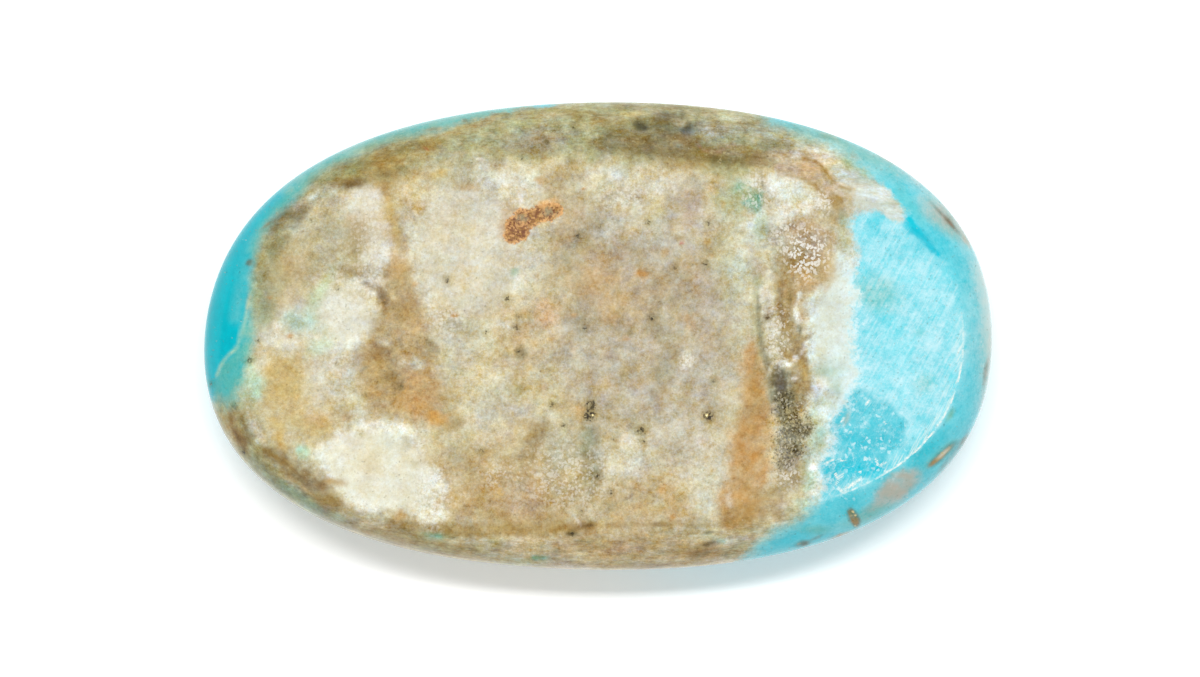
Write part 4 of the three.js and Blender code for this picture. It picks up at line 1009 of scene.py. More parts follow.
def minerals(x, y, polish, palette, seed):
    """Everything that the surface shows, by place: colours of both rocks, and distances and amounts in
    millimetres and shares."""
    canvas = Canvas(x, y, seed)
    host = paint(canvas, "host", palette, HOST_AREAS, HOST_VEINS, HOST_SPOTS)
    seam = canvas.area(SEAM_AREA)
    cover = smooth_step(0.22, -0.25, seam)[:, None]
    dark = paint(canvas, "smoke", palette, [], [], SEAM_SPOTS)
    host = host * (1 - cover) + dark * cover
    away, inside = distance_to_line(x, y, cut_corners(HOST_AREA, True), True)
    upper_left = smooth_step(-4.0, -7.0, x) * smooth_step(-2.2, -0.4, y - 0.2 * x - 3.2)
    right = smooth_step(5.0, 7.0, x) * (1 - amount(canvas, [CRISP_CRUST]))
    left_width = np.interp(upper_left, [0, 1], LEFT_WIDTHS) + SOFT_END_WIDTH * amount(canvas, [SOFT_END])
    left_wave = np.interp(upper_left, [0, 1], LEFT_WAVES)
    right_width, right_wave = (np.interp(polish, [0, 1], ends) for ends in (RIGHT_WIDTHS, RIGHT_WAVES))
    return {
        "host_colour": host,
        "blue_colour": paint(canvas, "sky", palette, BLUE_AREAS, BLUE_VEINS, BLUE_SPOTS, 0.4),
        "host_edge": np.where(inside, away, -away),
        "ore": nearest_round(canvas, ORE_GRAINS),
        "rust": nearest_round(canvas, RUST_LOBES),
        "glitter": amount(canvas, GLITTER),
        "sugar": amount(canvas, SUGAR),
        "seam": smooth_step(0.3, -0.3, seam) * smooth_step(-1.9, -2.8, y),
        "contrast": contrast(canvas),
        "iron": amount(canvas, IRON),
        "rust_grey": amount(canvas, RUST_GREY),
        "flecks": amount(canvas, FLECKS),
        "lace": amount(canvas, LACE),
        "gleam": amount(canvas, CREASE_HIGHLIGHT),
        "clear": amount(canvas, CLEAR),
        "crease": distance_from_back(x, y),
        "edge_width": left_width * (1 - right) + right_width * right,
        "edge_wave": left_wave * (1 - right) + right_wave * right,
        "chips": np.min([canvas.spot(*chip) for chip in CHIPS], axis=0),
    }


def distance_from_back(x, y):
    """Distance to the edge of the flat back, negative on it."""
    angles = np.linspace(0, 2 * np.pi, OUTLINE_STEPS, endpoint=False)
    outline = np.stack(outline_point(FLAT_BACK, angles), axis=1)
    away, inside = distance_to_line(x, y, outline, True)
    return np.where(inside, -away, away)


def contrast(canvas):
    """How strongly the rock is mottled at each place, 1 where it is ordinary."""
    level = np.ones(len(canvas.x))
    for x, y, length, width, turn, target in CONTRASTS:
        cover = smooth_step(0.4, -0.4, canvas.spot(x, y, length, width, turn))
        level = level * (1 - cover) + target * cover
    return level


# Shape

def reach(outline, angle):
    """How far an outline stands off its centre at an angle, as a share of its half sizes."""
    waves = enumerate(outline["waves"], start=1)
    return outline["mean"] + sum(c * np.cos(n * angle) + s * np.sin(n * angle) for n, (c, s) in waves)


def outline_point(outline, angle):
    """Point of an outline at an angle: the centre plus half sizes times reach times cosine and sine."""
    far = reach(outline, angle)
    x = outline["centre"][0] + outline["half"][0] * far * np.cos(angle)
    y = outline["centre"][1] + outline["half"][1] * far * np.sin(angle)
    return x, y


def back_grid(steps):
    """Points of the flat back and their angles: a square from -1 to 1 in u and v is bent into a disc, with p
    equal to u times the root of 1 less half v squared, and q the same with u and v changed round. The disc is
    then stretched to the outline, as far at each angle as the outline reaches."""
    u, v = np.meshgrid(np.linspace(-1, 1, steps[0] + 1), np.linspace(-1, 1, steps[1] + 1), indexing="ij")
    p, q = u * np.sqrt(1 - v * v / 2), v * np.sqrt(1 - u * u / 2)
    far = reach(FLAT_BACK, np.arctan2(q, p))
    x = FLAT_BACK["centre"][0] + FLAT_BACK["half"][0] * far * p
    y = FLAT_BACK["centre"][1] + FLAT_BACK["half"][1] * far * q
    return x, y, np.arctan2(q, p)


def edge_loop(steps):
    """Numbers of the grid's outer points in order, anticlockwise from its first corner."""
    index = np.arange((steps[0] + 1) * (steps[1] + 1)).reshape(steps[0] + 1, steps[1] + 1)
    return np.concatenate([index[:-1, 0], index[-1, :-1], index[:0:-1, -1], index[0, :0:-1]])


def stone_points(shape):
    """All points of the stone in millimetres, where each stands when the dome is unrolled outwards, and how
    polished it is. The bevel falls from the back's edge by a straight slope plus a quarter ellipse. The dome
    rises from the crown to the girdle as one less the root of one less a power of the distance out. All is
    then moved and scaled a little, so that its middle is at the origin and its size is the stone's."""
    thickness, girdle = shape.thickness / MM, shape.girdle / MM
    x, y, angles = back_grid(BACK_STEPS)
    loop = edge_loop(BACK_STEPS)
    angle = angles.ravel()[loop]
    inner, outer = np.stack(outline_point(FLAT_BACK, angle)), np.stack(outline_point(GIRDLE, angle))
    fall = thickness - girdle
    slope = CREASE_SLOPE + CREASE_SWING * np.cos(angle - CRISPEST_ANGLE)
    straight = np.minimum(slope * np.hypot(*(outer - inner)), fall * STRAIGHT_SHARE_OF_FALL)
    share = bevel_shares()[:, None]
    bevel_z = thickness - straight * share - (fall - straight) * (1 - np.sqrt(1 - share ** 2))
    bevel_xy = inner[:, None] * (1 - share) + outer[:, None] * share

    def rise(out):
        return 1 - np.sqrt(np.maximum(0, 1 - out ** shape.fullness))

    turn = np.arccos(WORN_SHARE) * np.arange(1, DOME_RINGS + 1) / DOME_RINGS
    share = np.cos(turn)[:, None]
    worn = rise(WORN_SHARE)
    dome_z = girdle * np.maximum(0, (rise(share) - worn) / (1 - worn)) * np.ones_like(angle)
    crown = np.array(CROWN)[:, None, None]
    dome_xy = crown * (1 - share) + outer[:, None] * share
    down = np.hypot(*(outer[:, None] - dome_xy)) + DROP_UNROLLED * (girdle - dome_z)
    outwards = outer - np.array(CROWN)[:, None]
    outwards = outwards / np.hypot(*outwards)
    unrolled = outer[:, None] + outwards[:, None] * down

    points = np.concatenate([
        np.stack([x.ravel(), y.ravel(), np.full(x.size, thickness)], axis=1),
        np.stack([*bevel_xy, bevel_z], axis=-1).reshape(-1, 3),
        np.stack([*dome_xy, dome_z], axis=-1).reshape(-1, 3),
        [[*CROWN, 0.0]],
    ])
    seen = points[:x.size + bevel_z.size, :2]
    flat = np.concatenate([seen, unrolled.reshape(2, -1).T, [CROWN_UNROLLED]])
    width = POLISH_SHARE - POLISH_SWING * np.cos(angle - CRISPEST_ANGLE)
    bevel_polish = smooth_step(0, width, bevel_shares()[:, None]).ravel()
    polish = np.concatenate([np.zeros(x.size), bevel_polish, np.ones(dome_z.size + 1)])
    low, high = points.min(axis=0)[:2], points.max(axis=0)[:2]
    size = (shape.length / MM, shape.width / MM)
    for places in (points, flat):
        places[:, :2] = (places[:, :2] - (low + high) / 2) * size / (high - low)
    return points, flat, polish


def bevel_shares():
    """How far out on the bevel each of its rings lies, as a share."""
    return np.sin(np.pi / 2 * np.arange(1, BEVEL_RINGS + 1) / BEVEL_RINGS)


def stone_faces():
    """Four corners of every face: the back's grid, then strips between rings, and triangles at the crown."""
    along, across = BACK_STEPS
    index = np.arange((along + 1) * (across + 1)).reshape(along + 1, across + 1)
    back = np.stack([index[:-1, :-1], index[1:, :-1], index[1:, 1:], index[:-1, 1:]], axis=-1).reshape(-1, 4)
    loop = edge_loop(BACK_STEPS)
    rings = index.size + np.arange((BEVEL_RINGS + DOME_RINGS) * len(loop)).reshape(-1, len(loop))
    rings = np.vstack([loop, rings])
    upper, lower = rings[:-1], rings[1:]
    strips = np.stack([upper, lower, np.roll(lower, -1, axis=1), np.roll(upper, -1, axis=1)], axis=-1)
    last = rings[-1]
    crown = np.stack([last, np.full(len(last), rings.max() + 1), np.roll(last, -1)], axis=-1)
    return back, strips.reshape(-1, 4), crown


def make_mesh(name, points, quads, triangles):
    """A mesh of those points in metres, with quads before triangles."""
    mesh = bpy.data.meshes.new(name)
    loops = np.concatenate([quads.ravel(), triangles.ravel()])
    sizes = np.concatenate([np.full(len(quads), 4), np.full(len(triangles), 3)])
    mesh.vertices.add(len(points))
    mesh.vertices.foreach_set("co", (points * MM).ravel())
    mesh.loops.add(len(loops))
    mesh.loops.foreach_set("vertex_index", loops.astype(np.int32))
    mesh.polygons.add(len(sizes))
    mesh.polygons.foreach_set("loop_start", np.concatenate([[0], np.cumsum(sizes)[:-1]]).astype(np.int32))
    mesh.polygons.foreach_set("loop_total", sizes.astype(np.int32))
    mesh.update(calc_edges=True)
    mesh.shade_smooth()
    return mesh


def relief_depth(flat, found, polish, seed):
    """How far each point is sunk along its normal, in millimetres: hollows with rough floors, sugary grains,
    the grains of the seam and a fine unevenness of the lapped back."""
    canvas = Canvas(flat[:, 0], flat[:, 1], seed)
    grain = rough(flat[:, 0], flat[:, 1], GRAIN_SIZE, seed + 30, octaves=2)
    depth = np.zeros(len(flat))
    for x, y, length, width, turn, deep in HOLLOWS:
        soft = min(length, width) * 0.25
        inside = smooth_step(soft, -soft, canvas.spot(x, y, length, width, turn))
        depth = np.maximum(depth, deep * inside * (0.8 + 0.45 * grain))
    depth += SUGAR_DEPTH * found["sugar"] * (1 + grain)
    depth += SEAM_DEPTH * found["seam"] * (1 + grain)
    depth += LAPPED_DEPTH * (1 - polish) * (1 + grain)
    return np.maximum(depth, 0)


# Materials

class Wiring:
    """Adds nodes to one tree. An input is a number, a colour or another node's output."""

    def __init__(self, tree):
        self.tree = tree

    def node(self, kind, inputs=(), output=0, **settings):
        """One output of a new node of that kind, with its inputs by name or number, and its settings."""
        made = self.tree.nodes.new(kind)
        for name, value in settings.items():
            setattr(made, name, value)
        for key, value in dict(inputs).items():
            socket = made.inputs[key]
            if isinstance(value, bpy.types.NodeSocket):
                self.tree.links.new(value, socket)
            else:
                socket.default_value = value
        return made.outputs[output]

    def math(self, operation, first, second, clamp=False):
        """What the operation makes of two numbers, kept from 0 to 1 where clamp says so."""
        return self.node("ShaderNodeMath", {0: first, 1: second}, operation=operation, use_clamp=clamp)

    def plus(self, first, second):
        """The sum of two numbers."""
        return self.math("ADD", first, second)

    def times(self, first, second, clamp=False):
        """The product of two numbers."""
        return self.math("MULTIPLY", first, second, clamp)

    def rest(self, share):
        """One less the share."""
        return self.math("SUBTRACT", 1.0, share)

    def scaled(self, vector, scale):
        """A vector times a number."""
        return self.node("ShaderNodeVectorMath", {0: vector, "Scale": scale}, operation="SCALE")

    def channels(self, value):
        """The red, green and blue of a colour."""
        parts = self.tree.nodes.new("ShaderNodeSeparateColor")
        self.tree.links.new(value, parts.inputs[0])
        return parts.outputs

    def mix(self, share, first, second):
        """From the first colour to the second."""
        return self.node("ShaderNodeMix", {0: share, 6: opaque(first), 7: opaque(second)}, 2,
                         data_type="RGBA")

    def tint(self, share, base, by):
        """Base colour multiplied by another, as far as share says."""
        return self.node("ShaderNodeMix", {0: share, 6: opaque(base), 7: opaque(by)}, 2, data_type="RGBA",
                         blend_type="MULTIPLY")

    def blend(self, share, first, second):
        """From the first number to the second."""
        return self.node("ShaderNodeMix", {0: share, 2: first, 3: second}, 0, data_type="FLOAT")

    def step(self, low, high, value):
        """0 up to low and 1 from high on, or the other way round where low is the higher."""
        return self.node("ShaderNodeMapRange", {"Value": value, "From Min": low, "From Max": high},
                         interpolation_type="SMOOTHSTEP")

    def attribute(self, name, output="Fac"):
        """What the mesh holds under that name at each point."""
        return self.node("ShaderNodeAttribute", output=output, attribute_name=name)

    def moved(self, place, shift):
        """Places moved to another part of a pattern."""
        return self.node("ShaderNodeVectorMath", {0: place, 1: (shift, -shift, shift)}, operation="ADD")

    def noise(self, place, scale, detail=2.0, roughness=0.5, shift=0.0):
        """Noise about nothing, mostly from -1 to 1. Another shift gives another pattern."""
        raw = self.node("ShaderNodeTexNoise", {"Vector": self.moved(place, shift), "Scale": scale,
                                               "Detail": detail, "Roughness": roughness})
        return self.times(self.math("SUBTRACT", raw, 0.5), 4.0)

    def three_noises(self, place, scale, detail, roughness, shift=0.0):
        """Three noises about nothing in one vector, about as strong at every size of cloud."""
        raw = self.node("ShaderNodeTexNoise", {"Vector": self.moved(place, shift), "Scale": scale,
                                               "Detail": detail, "Roughness": roughness}, "Color")
        centred = self.node("ShaderNodeVectorMath", {0: raw, 1: (0.5, 0.5, 0.5)}, operation="SUBTRACT")
        return self.scaled(centred, 4.0)

    def varied(self, base, noises, strength, red, green, blue):
        """Base colour with each channel scaled by one plus its own blend of three noises."""
        noises = self.scaled(noises, strength)
        blends = [self.node("ShaderNodeVectorMath", {0: noises, 1: weights}, 1, operation="DOT_PRODUCT")
                  for weights in (red, green, blue)]
        factors = [self.math("MAXIMUM", self.plus(blend, 1.0), 0.1) for blend in blends]
        scale = self.node("ShaderNodeCombineXYZ", dict(enumerate(factors)))
        return self.node("ShaderNodeVectorMath", {0: base, 1: scale}, operation="MULTIPLY")

    def grains(self, place, size, shift=0.0):
        """Two random numbers that are the same all over each grain of about that size."""
        cell = self.node("ShaderNodeTexVoronoi", {"Vector": self.moved(place, shift), "Scale": 1 / size},
                         "Color", voronoi_dimensions="2D")
        return self.channels(cell)[:2]

    def dots(self, place, size, unevenness, shift=0.0):
        """Uneven grains that size apart: 1 inside them and 0 between them, and a random number for each."""
        pushed = self.node("ShaderNodeVectorMath", {0: self.moved(place, shift), 1: unevenness},
                           operation="ADD")
        cell = self.tree.nodes.new("ShaderNodeTexVoronoi")
        cell.voronoi_dimensions = "2D"
        cell.inputs["Scale"].default_value = 1 / size
        self.tree.links.new(pushed, cell.inputs["Vector"])
        return self.step(0.55, 0.35, cell.outputs["Distance"]), self.channels(cell.outputs["Color"])[0]

    def stretched(self, place, turn, scale):
        """Places turned about the upright axis and scaled unevenly."""
        turned = self.node("ShaderNodeVectorRotate", {"Vector": place, "Angle": turn}, rotation_type="Z_AXIS")
        return self.node("ShaderNodeVectorMath", {0: turned, 1: scale}, operation="MULTIPLY")


def opaque(value):
    """A colour with an alpha of one, or a socket as it is."""
    if isinstance(value, bpy.types.NodeSocket):
        return value
    return (*value, 1.0) if len(value) == 3 else value


def new_material(name):
    """An empty material with its output, and the wiring to fill it."""
    material = bpy.data.materials.new(name)
    material.use_nodes = True
    tree = material.node_tree
    tree.nodes.clear()
    return material, Wiring(tree)


def finish_material(wiring, inputs):
    """Joins those inputs to a Principled BSDF, and that to the output."""
    shader = wiring.node("ShaderNodeBsdfPrincipled", inputs)
    output = wiring.tree.nodes.new("ShaderNodeOutputMaterial")
    wiring.tree.links.new(shader, output.inputs["Surface"])


def host_rock(w, place, palette, polish, mottling, unevenness):
    """Colour of the host rock: the painted colour, mottled at every size, with stains, dust and crystals."""
    base = w.attribute("host_colour", "Color")
    strength, iron = w.attribute("contrast"), w.attribute("iron")

    def cloud(scale, detail, shift, low, high, share, of=None):
        """Share of a layer of clouds: none where its noise is below low, and all of it above high."""
        cover = w.times(w.step(low, high, w.noise(place, scale, detail, 0.78, shift)), share)
        return w.times(cover, of or strength, clamp=True)

    base = w.tint(cloud(0.7, 5, 31.0, 0.0, 0.6, 0.8), base, (0.80, 0.79, 0.86))
    base = w.tint(cloud(0.9, 5, 93.0, 0.1, 0.7, 0.8), base, (1.12, 1.17, 1.36))
    base = w.tint(cloud(1.1, 5, 57.0, 0.1, 0.8, 0.9, iron), base, (1.02, 0.88, 0.58))
    base = w.tint(cloud(2.2, 4, 12.0, 0.2, 0.9, 0.75, iron), base, (0.7, 0.58, 0.38))
    base = w.mix(cloud(4.5, 2, 68.0, 0.7, 1.1, 0.6, iron), base, palette["orange"])
    base = w.tint(cloud(7.0, 2, 77.0, 0.75, 1.35, 0.45), base, (0.55, 0.45, 0.32))

    base = w.varied(base, mottling, strength, (0.46, 0.16, 0.05), (0.62, 0.0, -0.04), (0.92, -0.36, 0.04))
    streaks = w.three_noises(w.stretched(place, 0.0, (0.5, 1.6, 1.6)), 0.8, 4, 0.9, shift=9.0)
    base = w.varied(base, streaks, polish, (0.38, 0.12, 0.05), (0.46, 0.0, -0.04), (0.64, -0.24, 0.04))

    sugar = w.attribute("sugar")
    dot, pick = w.dots(place, 0.1, unevenness, shift=27.0)
    gap = w.times(w.times(dot, w.step(0.5, 0.8, pick)), sugar)
    base = w.tint(w.times(gap, 0.5), base, (0.68, 0.52, 0.36))
    dot, pick = w.dots(place, 0.14, unevenness)
    heaped = w.plus(pick, w.times(w.noise(place, 1.6, 3, 0.7, shift=44.0), 0.25))
    crystal = w.times(w.times(dot, w.step(0.3, 0.65, heaped)), sugar)
    return w.mix(w.times(crystal, 0.9), base, palette["crystal"])


def turquoise(w, place, palette, polish, mottling, unevenness, edge):
    """Colour of the turquoise: the painted colour, clouded, with pale scratches that carry a painted sheen
    and flecks on the back, a lace of paler stone along the host rock, and crisp chips."""
    base = w.attribute("blue_colour", "Color")
    redness = w.channels(base)[0]
    base = w.varied(base, mottling, w.blend(w.step(0.28, 0.42, redness), 1.0, 0.25),
                    (0.5, 0.6, 0.0), (0.17, 0.06, 0.0), (0.14, 0.03, 0.0))
    lapped = w.times(w.rest(polish), w.rest(w.attribute("clear")))
    clouds = w.noise(place, 1.0, 5, 0.85, shift=41.0)
    strokes = w.noise(w.stretched(place, LAPPING_TURN, (0.4, 7.0, 1.0)), 1.0, 3, 0.75)
    crossing = w.noise(w.stretched(place, CROSSING_TURN, (0.5, 12.0, 1.0)), 1.0, 2, 0.6, shift=3.0)
    # Pale lapping scratches that also carry painted satin sheen: paler in streaks and deeper blue between, on
    # the lapped back only
    scratch_sheen = w.plus(w.times(clouds, 0.44), w.times(strokes, 0.31))
    scratch_sheen = w.plus(scratch_sheen, w.times(w.step(0.45, 0.9, crossing), 0.24))
    base = w.mix(w.times(scratch_sheen, lapped, clamp=True), base, palette["pale_and_sheen"])
    base = w.tint(w.times(w.times(scratch_sheen, -2.2), lapped, clamp=True), base, (0.35, 0.9, 0.93))

    dot, pick = w.dots(place, 0.16, unevenness, shift=37.0)
    fleck = w.times(w.times(dot, w.step(0.8, 1.0, pick)), 0.6)
    chalk = w.step(0.0, 0.9, w.noise(place, 2.6, 4, 0.95, shift=23.0))
    fleck = w.math("MAXIMUM", fleck, w.times(chalk, 0.6))
    base = w.mix(w.times(fleck, w.attribute("flecks")), base, palette["pale_and_sheen"])

    lace = w.times(w.noise(place, 1.8, 5, 0.85, shift=61.0), 0.5)
    lace = w.plus(lace, w.times(edge, 0.7))
    lace = w.times(w.step(-0.3, 0.15, lace), w.times(lapped, w.attribute("lace")))
    base = w.mix(w.times(lace, 0.8), base, palette["pale_and_sheen"])
    worn = w.noise(place, 9.0, 2, 0.7, shift=19.0)
    chip = w.step(0.03, -0.02, w.plus(w.attribute("chips"), w.times(worn, 0.02)))
    return w.mix(w.times(chip, w.blend(w.step(-0.4, 0.3, worn), 0.9, 0.5)), base, palette["crystal"])


def seam_grains(w, place, palette, base):
    """The open seam: a heap of grains from near-black painted shade to pale, thinning out at its edge."""
    pick, tone = w.grains(place, 0.06, shift=3.0)
    ramp = w.tree.nodes.new("ShaderNodeValToRGB")
    ramp.color_ramp.interpolation = "CONSTANT"
    stops = [(0.0, "shadow"), (0.2, "olive"), (0.45, "smoke"), (0.7, "grey"), (0.9, "cream")]
    while len(ramp.color_ramp.elements) < len(stops):
        ramp.color_ramp.elements.new(0.5)
    for element, (position, name) in zip(ramp.color_ramp.elements, stops):
        element.position = position
        element.color = (*palette[name], 1.0)
    w.tree.links.new(tone, ramp.inputs[0])
    chosen = w.step(0.05, -0.05, w.math("SUBTRACT", pick, w.attribute("seam")))
    mixed = w.mix(0.55, base, ramp.outputs[0])
    return w.mix(chosen, base, mixed)


def painted_crease_highlight(w, place, palette, base):
    """Painted highlight on the back's crease: a broken pale line, and painted sheen on pale scratches beside
    it.
    """
    crease = w.plus(w.attribute("crease"), w.times(w.noise(place, 2.0, 3, 0.7, shift=71.0), 0.03))
    gleam = w.times(w.step(-0.09, -0.02, crease), w.step(0.04, 0.0, crease))
    broken = w.step(-0.5, 0.4, w.noise(place, 2.6, 4, 0.8, shift=33.0))
    gleam = w.times(w.times(gleam, broken), w.attribute("gleam"))
    pale_and_sheen = w.times(w.step(-0.7, -0.05, crease), w.step(0.03, -0.02, crease))
    scratch = w.noise(w.stretched(place, LAPPING_TURN, (0.8, 9.0, 1.0)), 1.0, 3, 0.75, shift=4.0)
    pale_and_sheen = w.times(w.times(pale_and_sheen, w.step(-0.2, 0.6, scratch)), w.attribute("gleam"))
    gleam = w.math("MAXIMUM", w.times(gleam, 0.95), w.times(pale_and_sheen, 0.6))
    return w.mix(gleam, base, palette["crystal"])


def rust_pocket(w, place, palette, base, grit, lumps):
    """The rust pocket: grains from rust to amber, grey in places, with an amber rim."""
    edge = w.plus(w.attribute("rust"), w.times(w.plus(grit, lumps), 0.06))
    inside = w.step(0.05, -0.05, edge)
    rim = w.step(-0.2, -0.03, edge)
    rust = w.mix(w.step(-0.6, 0.6, lumps), palette["rust"], palette["orange"])
    pick, tone = w.grains(place, 0.08, shift=14.0)
    rust = w.mix(w.times(w.step(0.6, 0.8, tone), 0.6), rust, palette["amber"])
    rust = w.mix(w.times(w.step(0.6, 0.8, pick), 0.8), rust, palette["rust"])
    rust = w.mix(w.times(w.attribute("rust_grey"), w.step(-0.6, 0.2, lumps)), rust, palette["grey"])
    rust = w.mix(w.times(rim, w.blend(w.step(0.25, 0.55, tone), 0.3, 0.95)), rust, palette["amber"])
    return w.mix(w.times(inside, 0.92), base, rust)


def ore_grains(w, place, palette, base, grit):
    """Ore grains from near black to olive, with grey facets, each in a stained halo."""
    edge = w.plus(w.attribute("ore"), w.times(grit, 0.09))
    halo = w.times(w.step(0.25, -0.05, edge), 0.6)
    base = w.tint(halo, base, (0.62, 0.56, 0.36))
    _, tone = w.grains(place, 0.08, shift=11.0)
    inside = w.times(w.step(0.05, -0.08, edge), w.blend(w.step(0.3, 0.7, tone), 0.9, 0.45))
    ore = w.mix(w.step(0.2, 0.6, tone), palette["ore"], palette["olive"])
    ore = w.mix(w.step(0.75, 0.95, tone), ore, palette["grey"])
    return w.mix(inside, base, ore)


def stone_material(palette):
    """The whole stone: host rock, turquoise, the rust pocket and ore grains, each where its mask says."""
    material, w = new_material("polished_turquoise")
    place = w.scaled(w.node("ShaderNodeTexCoord", output="Object"), 1 / MM)
    polish = w.attribute("polish")
    width = w.attribute("edge_width")
    ragged = w.plus(w.times(w.noise(place, 1.2, 5, 0.75), 0.42),
                    w.times(w.noise(place, 6.0, 3, 0.7, shift=5.0), 0.12))
    ragged = w.times(ragged, w.attribute("edge_wave"))
    edge = w.plus(w.attribute("host_edge"), ragged)
    in_host = w.step(w.times(width, -1.0), width, edge)
    mottling = w.three_noises(place, 0.7, 5, 1.0)
    unevenness = w.scaled(w.three_noises(place, 5.0, 1, 0.5), 0.06)
    blue = turquoise(w, place, palette, polish, mottling, unevenness, edge)
    rock = host_rock(w, place, palette, polish, mottling, unevenness)
    base = w.mix(in_host, blue, rock)
    base = painted_crease_highlight(w, place, palette, base)
    base = seam_grains(w, place, palette, base)

    grit = w.noise(place, 9.0, 3, 0.7)
    lumps = w.noise(place, 6.0, 4, 0.8, shift=13.0)
    base = rust_pocket(w, place, palette, base, grit, lumps)
    base = ore_grains(w, place, palette, base, grit)

    # Ore faces painted bright brass to stand for their glints, with a little metal and gloss
    chip, _ = w.grains(place, 0.09, shift=8.0)
    faces = w.times(w.step(0.86, 0.9, chip), w.step(0.15, 0.8, w.attribute("glitter")))
    base = w.mix(w.times(faces, 0.8), base, palette["gold"])

    satin = w.plus(0.5, w.times(lumps, 0.05))
    shine = w.blend(polish, satin, 0.16)
    shine = w.blend(w.attribute("sugar"), shine, 0.5)
    shine = w.blend(faces, shine, 0.25)
    coarse = w.plus(w.attribute("sugar"), w.attribute("seam"))
    coarse = w.plus(coarse, w.step(0.05, -0.05, w.attribute("rust")))
    height = w.plus(w.times(w.rest(polish), 0.006), w.times(coarse, 0.02))
    bump = w.node("ShaderNodeBump", {"Height": w.times(lumps, height), "Distance": MM})
    finish_material(w, {"Base Color": base, "Roughness": shine, "Metallic": w.times(faces, 0.3),
                        "IOR": STONE_IOR, "Specular IOR Level": STONE_SPECULAR, "Normal": bump})
    return material


def floor_material(floor, glow):
    """A pale matt board with the faintest unevenness, lit from below as well."""
    material, w = new_material("pale_board")
    place = w.node("ShaderNodeTexCoord", output="Object")
    fleck = w.noise(place, 60.0, 2)
    tone = w.mix(w.times(fleck, 0.02, clamp=True), floor, tuple(c * 0.9 for c in floor))
    finish_material(w, {"Base Color": tone, "Roughness": 0.8, "Emission Color": (1, 1, 1, 1),
                        "Emission Strength": glow})
    return material


def palette_of(colours):
    """The colour properties by name, as plain tuples."""
    return {name: tuple(getattr(colours, name)) for name in StoneColours.__annotations__}


class STONE_OT_build(bpy.types.Operator):
    """Build the turquoise stone in place of its plain solid"""
    bl_idname = "turquoise.build_stone"
    bl_label = "Stone"

    def execute(self, context):
        scene = context.scene
        shape, seed = scene.stone_shape, scene.stone_stage.seed
        palette = palette_of(scene.stone_colours)
        points, flat, polish = stone_points(shape)
        quads_back, quads_rings, crown = stone_faces()
        mesh = make_mesh("turquoise_surface", points, np.vstack([quads_back, quads_rings]), crown)
        found = minerals(flat[:, 0], flat[:, 1], polish, palette, seed)
        found["polish"] = polish

        normals = np.empty(len(points) * 3)
        mesh.vertices.foreach_get("normal", normals)
        depth = relief_depth(flat, found, polish, seed) * shape.relief
        points = points - normals.reshape(-1, 3) * depth[:, None]
        mesh.vertices.foreach_set("co", (points * MM).ravel())
        mesh.update()
        for name, values in found.items():
            kind, part = ("FLOAT_VECTOR", "vector") if values.ndim == 2 else ("FLOAT", "value")
            field = mesh.attributes.new(name, kind, "POINT")
            field.data.foreach_set(part, values.astype(np.float32).ravel())

        stone = bpy.data.objects.new("turquoise_surface", mesh)
        scene.collection.objects.link(stone)
        mesh.materials.append(stone_material(palette))
        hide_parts("turquoise_stone")
        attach(stone, "root")
        return {"FINISHED"}


def add_softbox(name, place, target, size, power):
    """A softbox of that length and width at a place, turned to a target."""
    lamp = bpy.data.lights.new(name, "AREA")
    lamp.shape = "RECTANGLE"
    lamp.size, lamp.size_y = size
    lamp.energy = power
    holder = bpy.data.objects.new(name, lamp)
    holder.location = place
    aim = Vector(target) - Vector(place)
    holder.rotation_euler = aim.to_track_quat("-Z", "Y").to_euler()
    bpy.context.scene.collection.objects.link(holder)


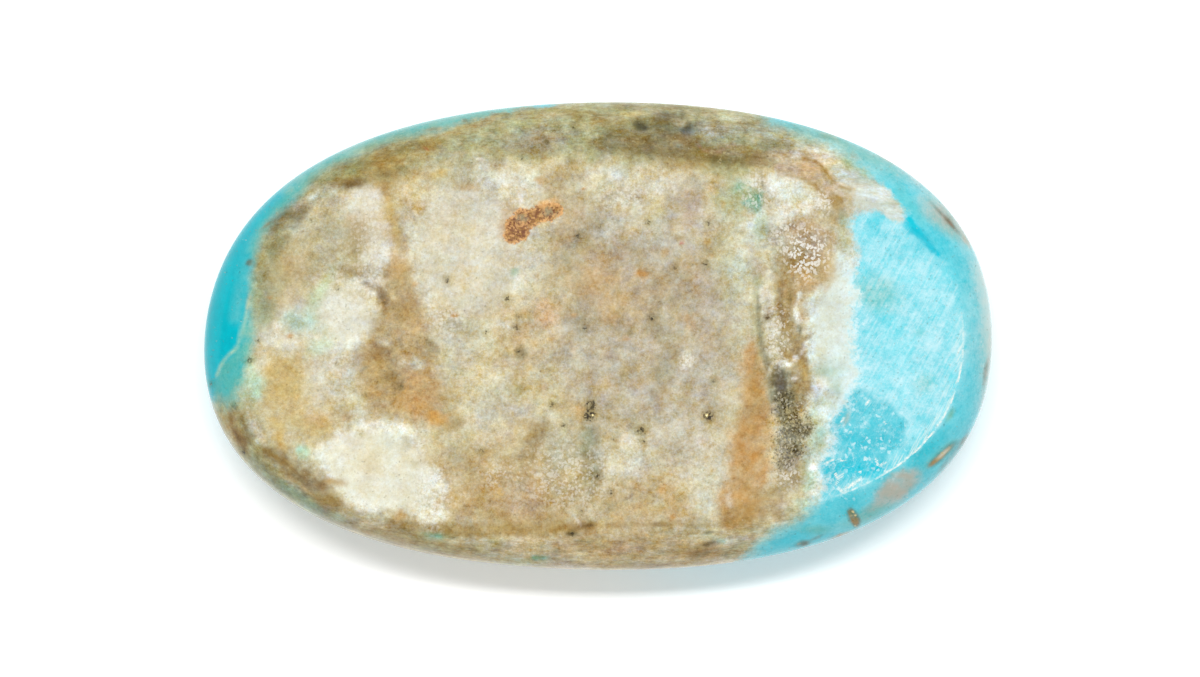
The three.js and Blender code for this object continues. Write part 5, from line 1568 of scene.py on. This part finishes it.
class STONE_OT_stage(bpy.types.Operator):
    """Build the pale floor, the soft lights and the camera above the stone"""
    bl_idname = "turquoise.build_stage"
    bl_label = "Stage"

    def execute(self, context):
        scene, stage = context.scene, context.scene.stone_stage
        corners = np.array([(-1, -1, 0), (1, -1, 0), (1, 1, 0), (-1, 1, 0)]) * FLOOR_REACH / MM
        mesh = make_mesh("floor", corners, np.array([[0, 1, 2, 3]]), np.empty((0, 3), int))
        mesh.materials.append(floor_material(tuple(stage.floor), stage.glow))
        floor = bpy.data.objects.new("floor", mesh)
        scene.collection.objects.link(floor)

        world = bpy.data.worlds.new("pale_surroundings")
        world.use_nodes = True
        background = world.node_tree.nodes["Background"]
        background.inputs["Color"].default_value = (1, 1, 1, 1)
        background.inputs["Strength"].default_value = stage.surround
        scene.world = world

        add_softbox("overhead", OVERHEAD_PLACE, (0, 0, 0), OVERHEAD_SIZE, stage.overhead)
        add_softbox("key", KEY_PLACE, (0, 0, 0), KEY_SIZE, stage.key)

        camera_data = bpy.data.cameras.new("camera")
        camera_data.sensor_width = SENSOR_WIDTH
        camera_data.lens = SENSOR_WIDTH * stage.distance / FRAME_WIDTH
        camera_data.clip_end = CAMERA_SIGHT
        camera = bpy.data.objects.new("camera", camera_data)
        camera.location = (*CAMERA_OVER, stage.distance + scene.stone_shape.girdle)
        scene.collection.objects.link(camera)
        scene.camera = camera

        scene.view_settings.view_transform = "Standard"
        scene.view_settings.look = "None"
        return {"FINISHED"}


class STONE_PT_panel(bpy.types.Panel):
    """Sizes, colours and the build steps of the stone"""
    bl_idname = "STONE_PT_panel"
    bl_label = "Turquoise stone"
    bl_space_type = "VIEW_3D"
    bl_region_type = "UI"
    bl_category = "Stone"

    def draw(self, context):
        scene = context.scene
        for group in (scene.stone_shape, scene.stone_colours, scene.stone_stage):
            box = self.layout.box()
            for name in type(group).__annotations__:
                box.prop(group, name)
        self.layout.operator(STONE_OT_build.bl_idname)
        self.layout.operator(STONE_OT_stage.bl_idname)


CLASSES = (StoneShape, StoneColours, StageSetup, STONE_OT_build, STONE_OT_stage, STONE_PT_panel)


def register():
    for cls in CLASSES:
        bpy.utils.register_class(cls)
    bpy.types.Scene.stone_shape = PointerProperty(type=StoneShape)
    bpy.types.Scene.stone_colours = PointerProperty(type=StoneColours)
    bpy.types.Scene.stone_stage = PointerProperty(type=StageSetup)


def unregister():
    del bpy.types.Scene.stone_stage
    del bpy.types.Scene.stone_colours
    del bpy.types.Scene.stone_shape
    for cls in reversed(CLASSES):
        bpy.utils.unregister_class(cls)


def main():
    """Builds everything."""
    register()
    bpy.ops.turquoise.build_stone()
    bpy.ops.turquoise.build_stage()


if __name__ == "__main__":
    main()
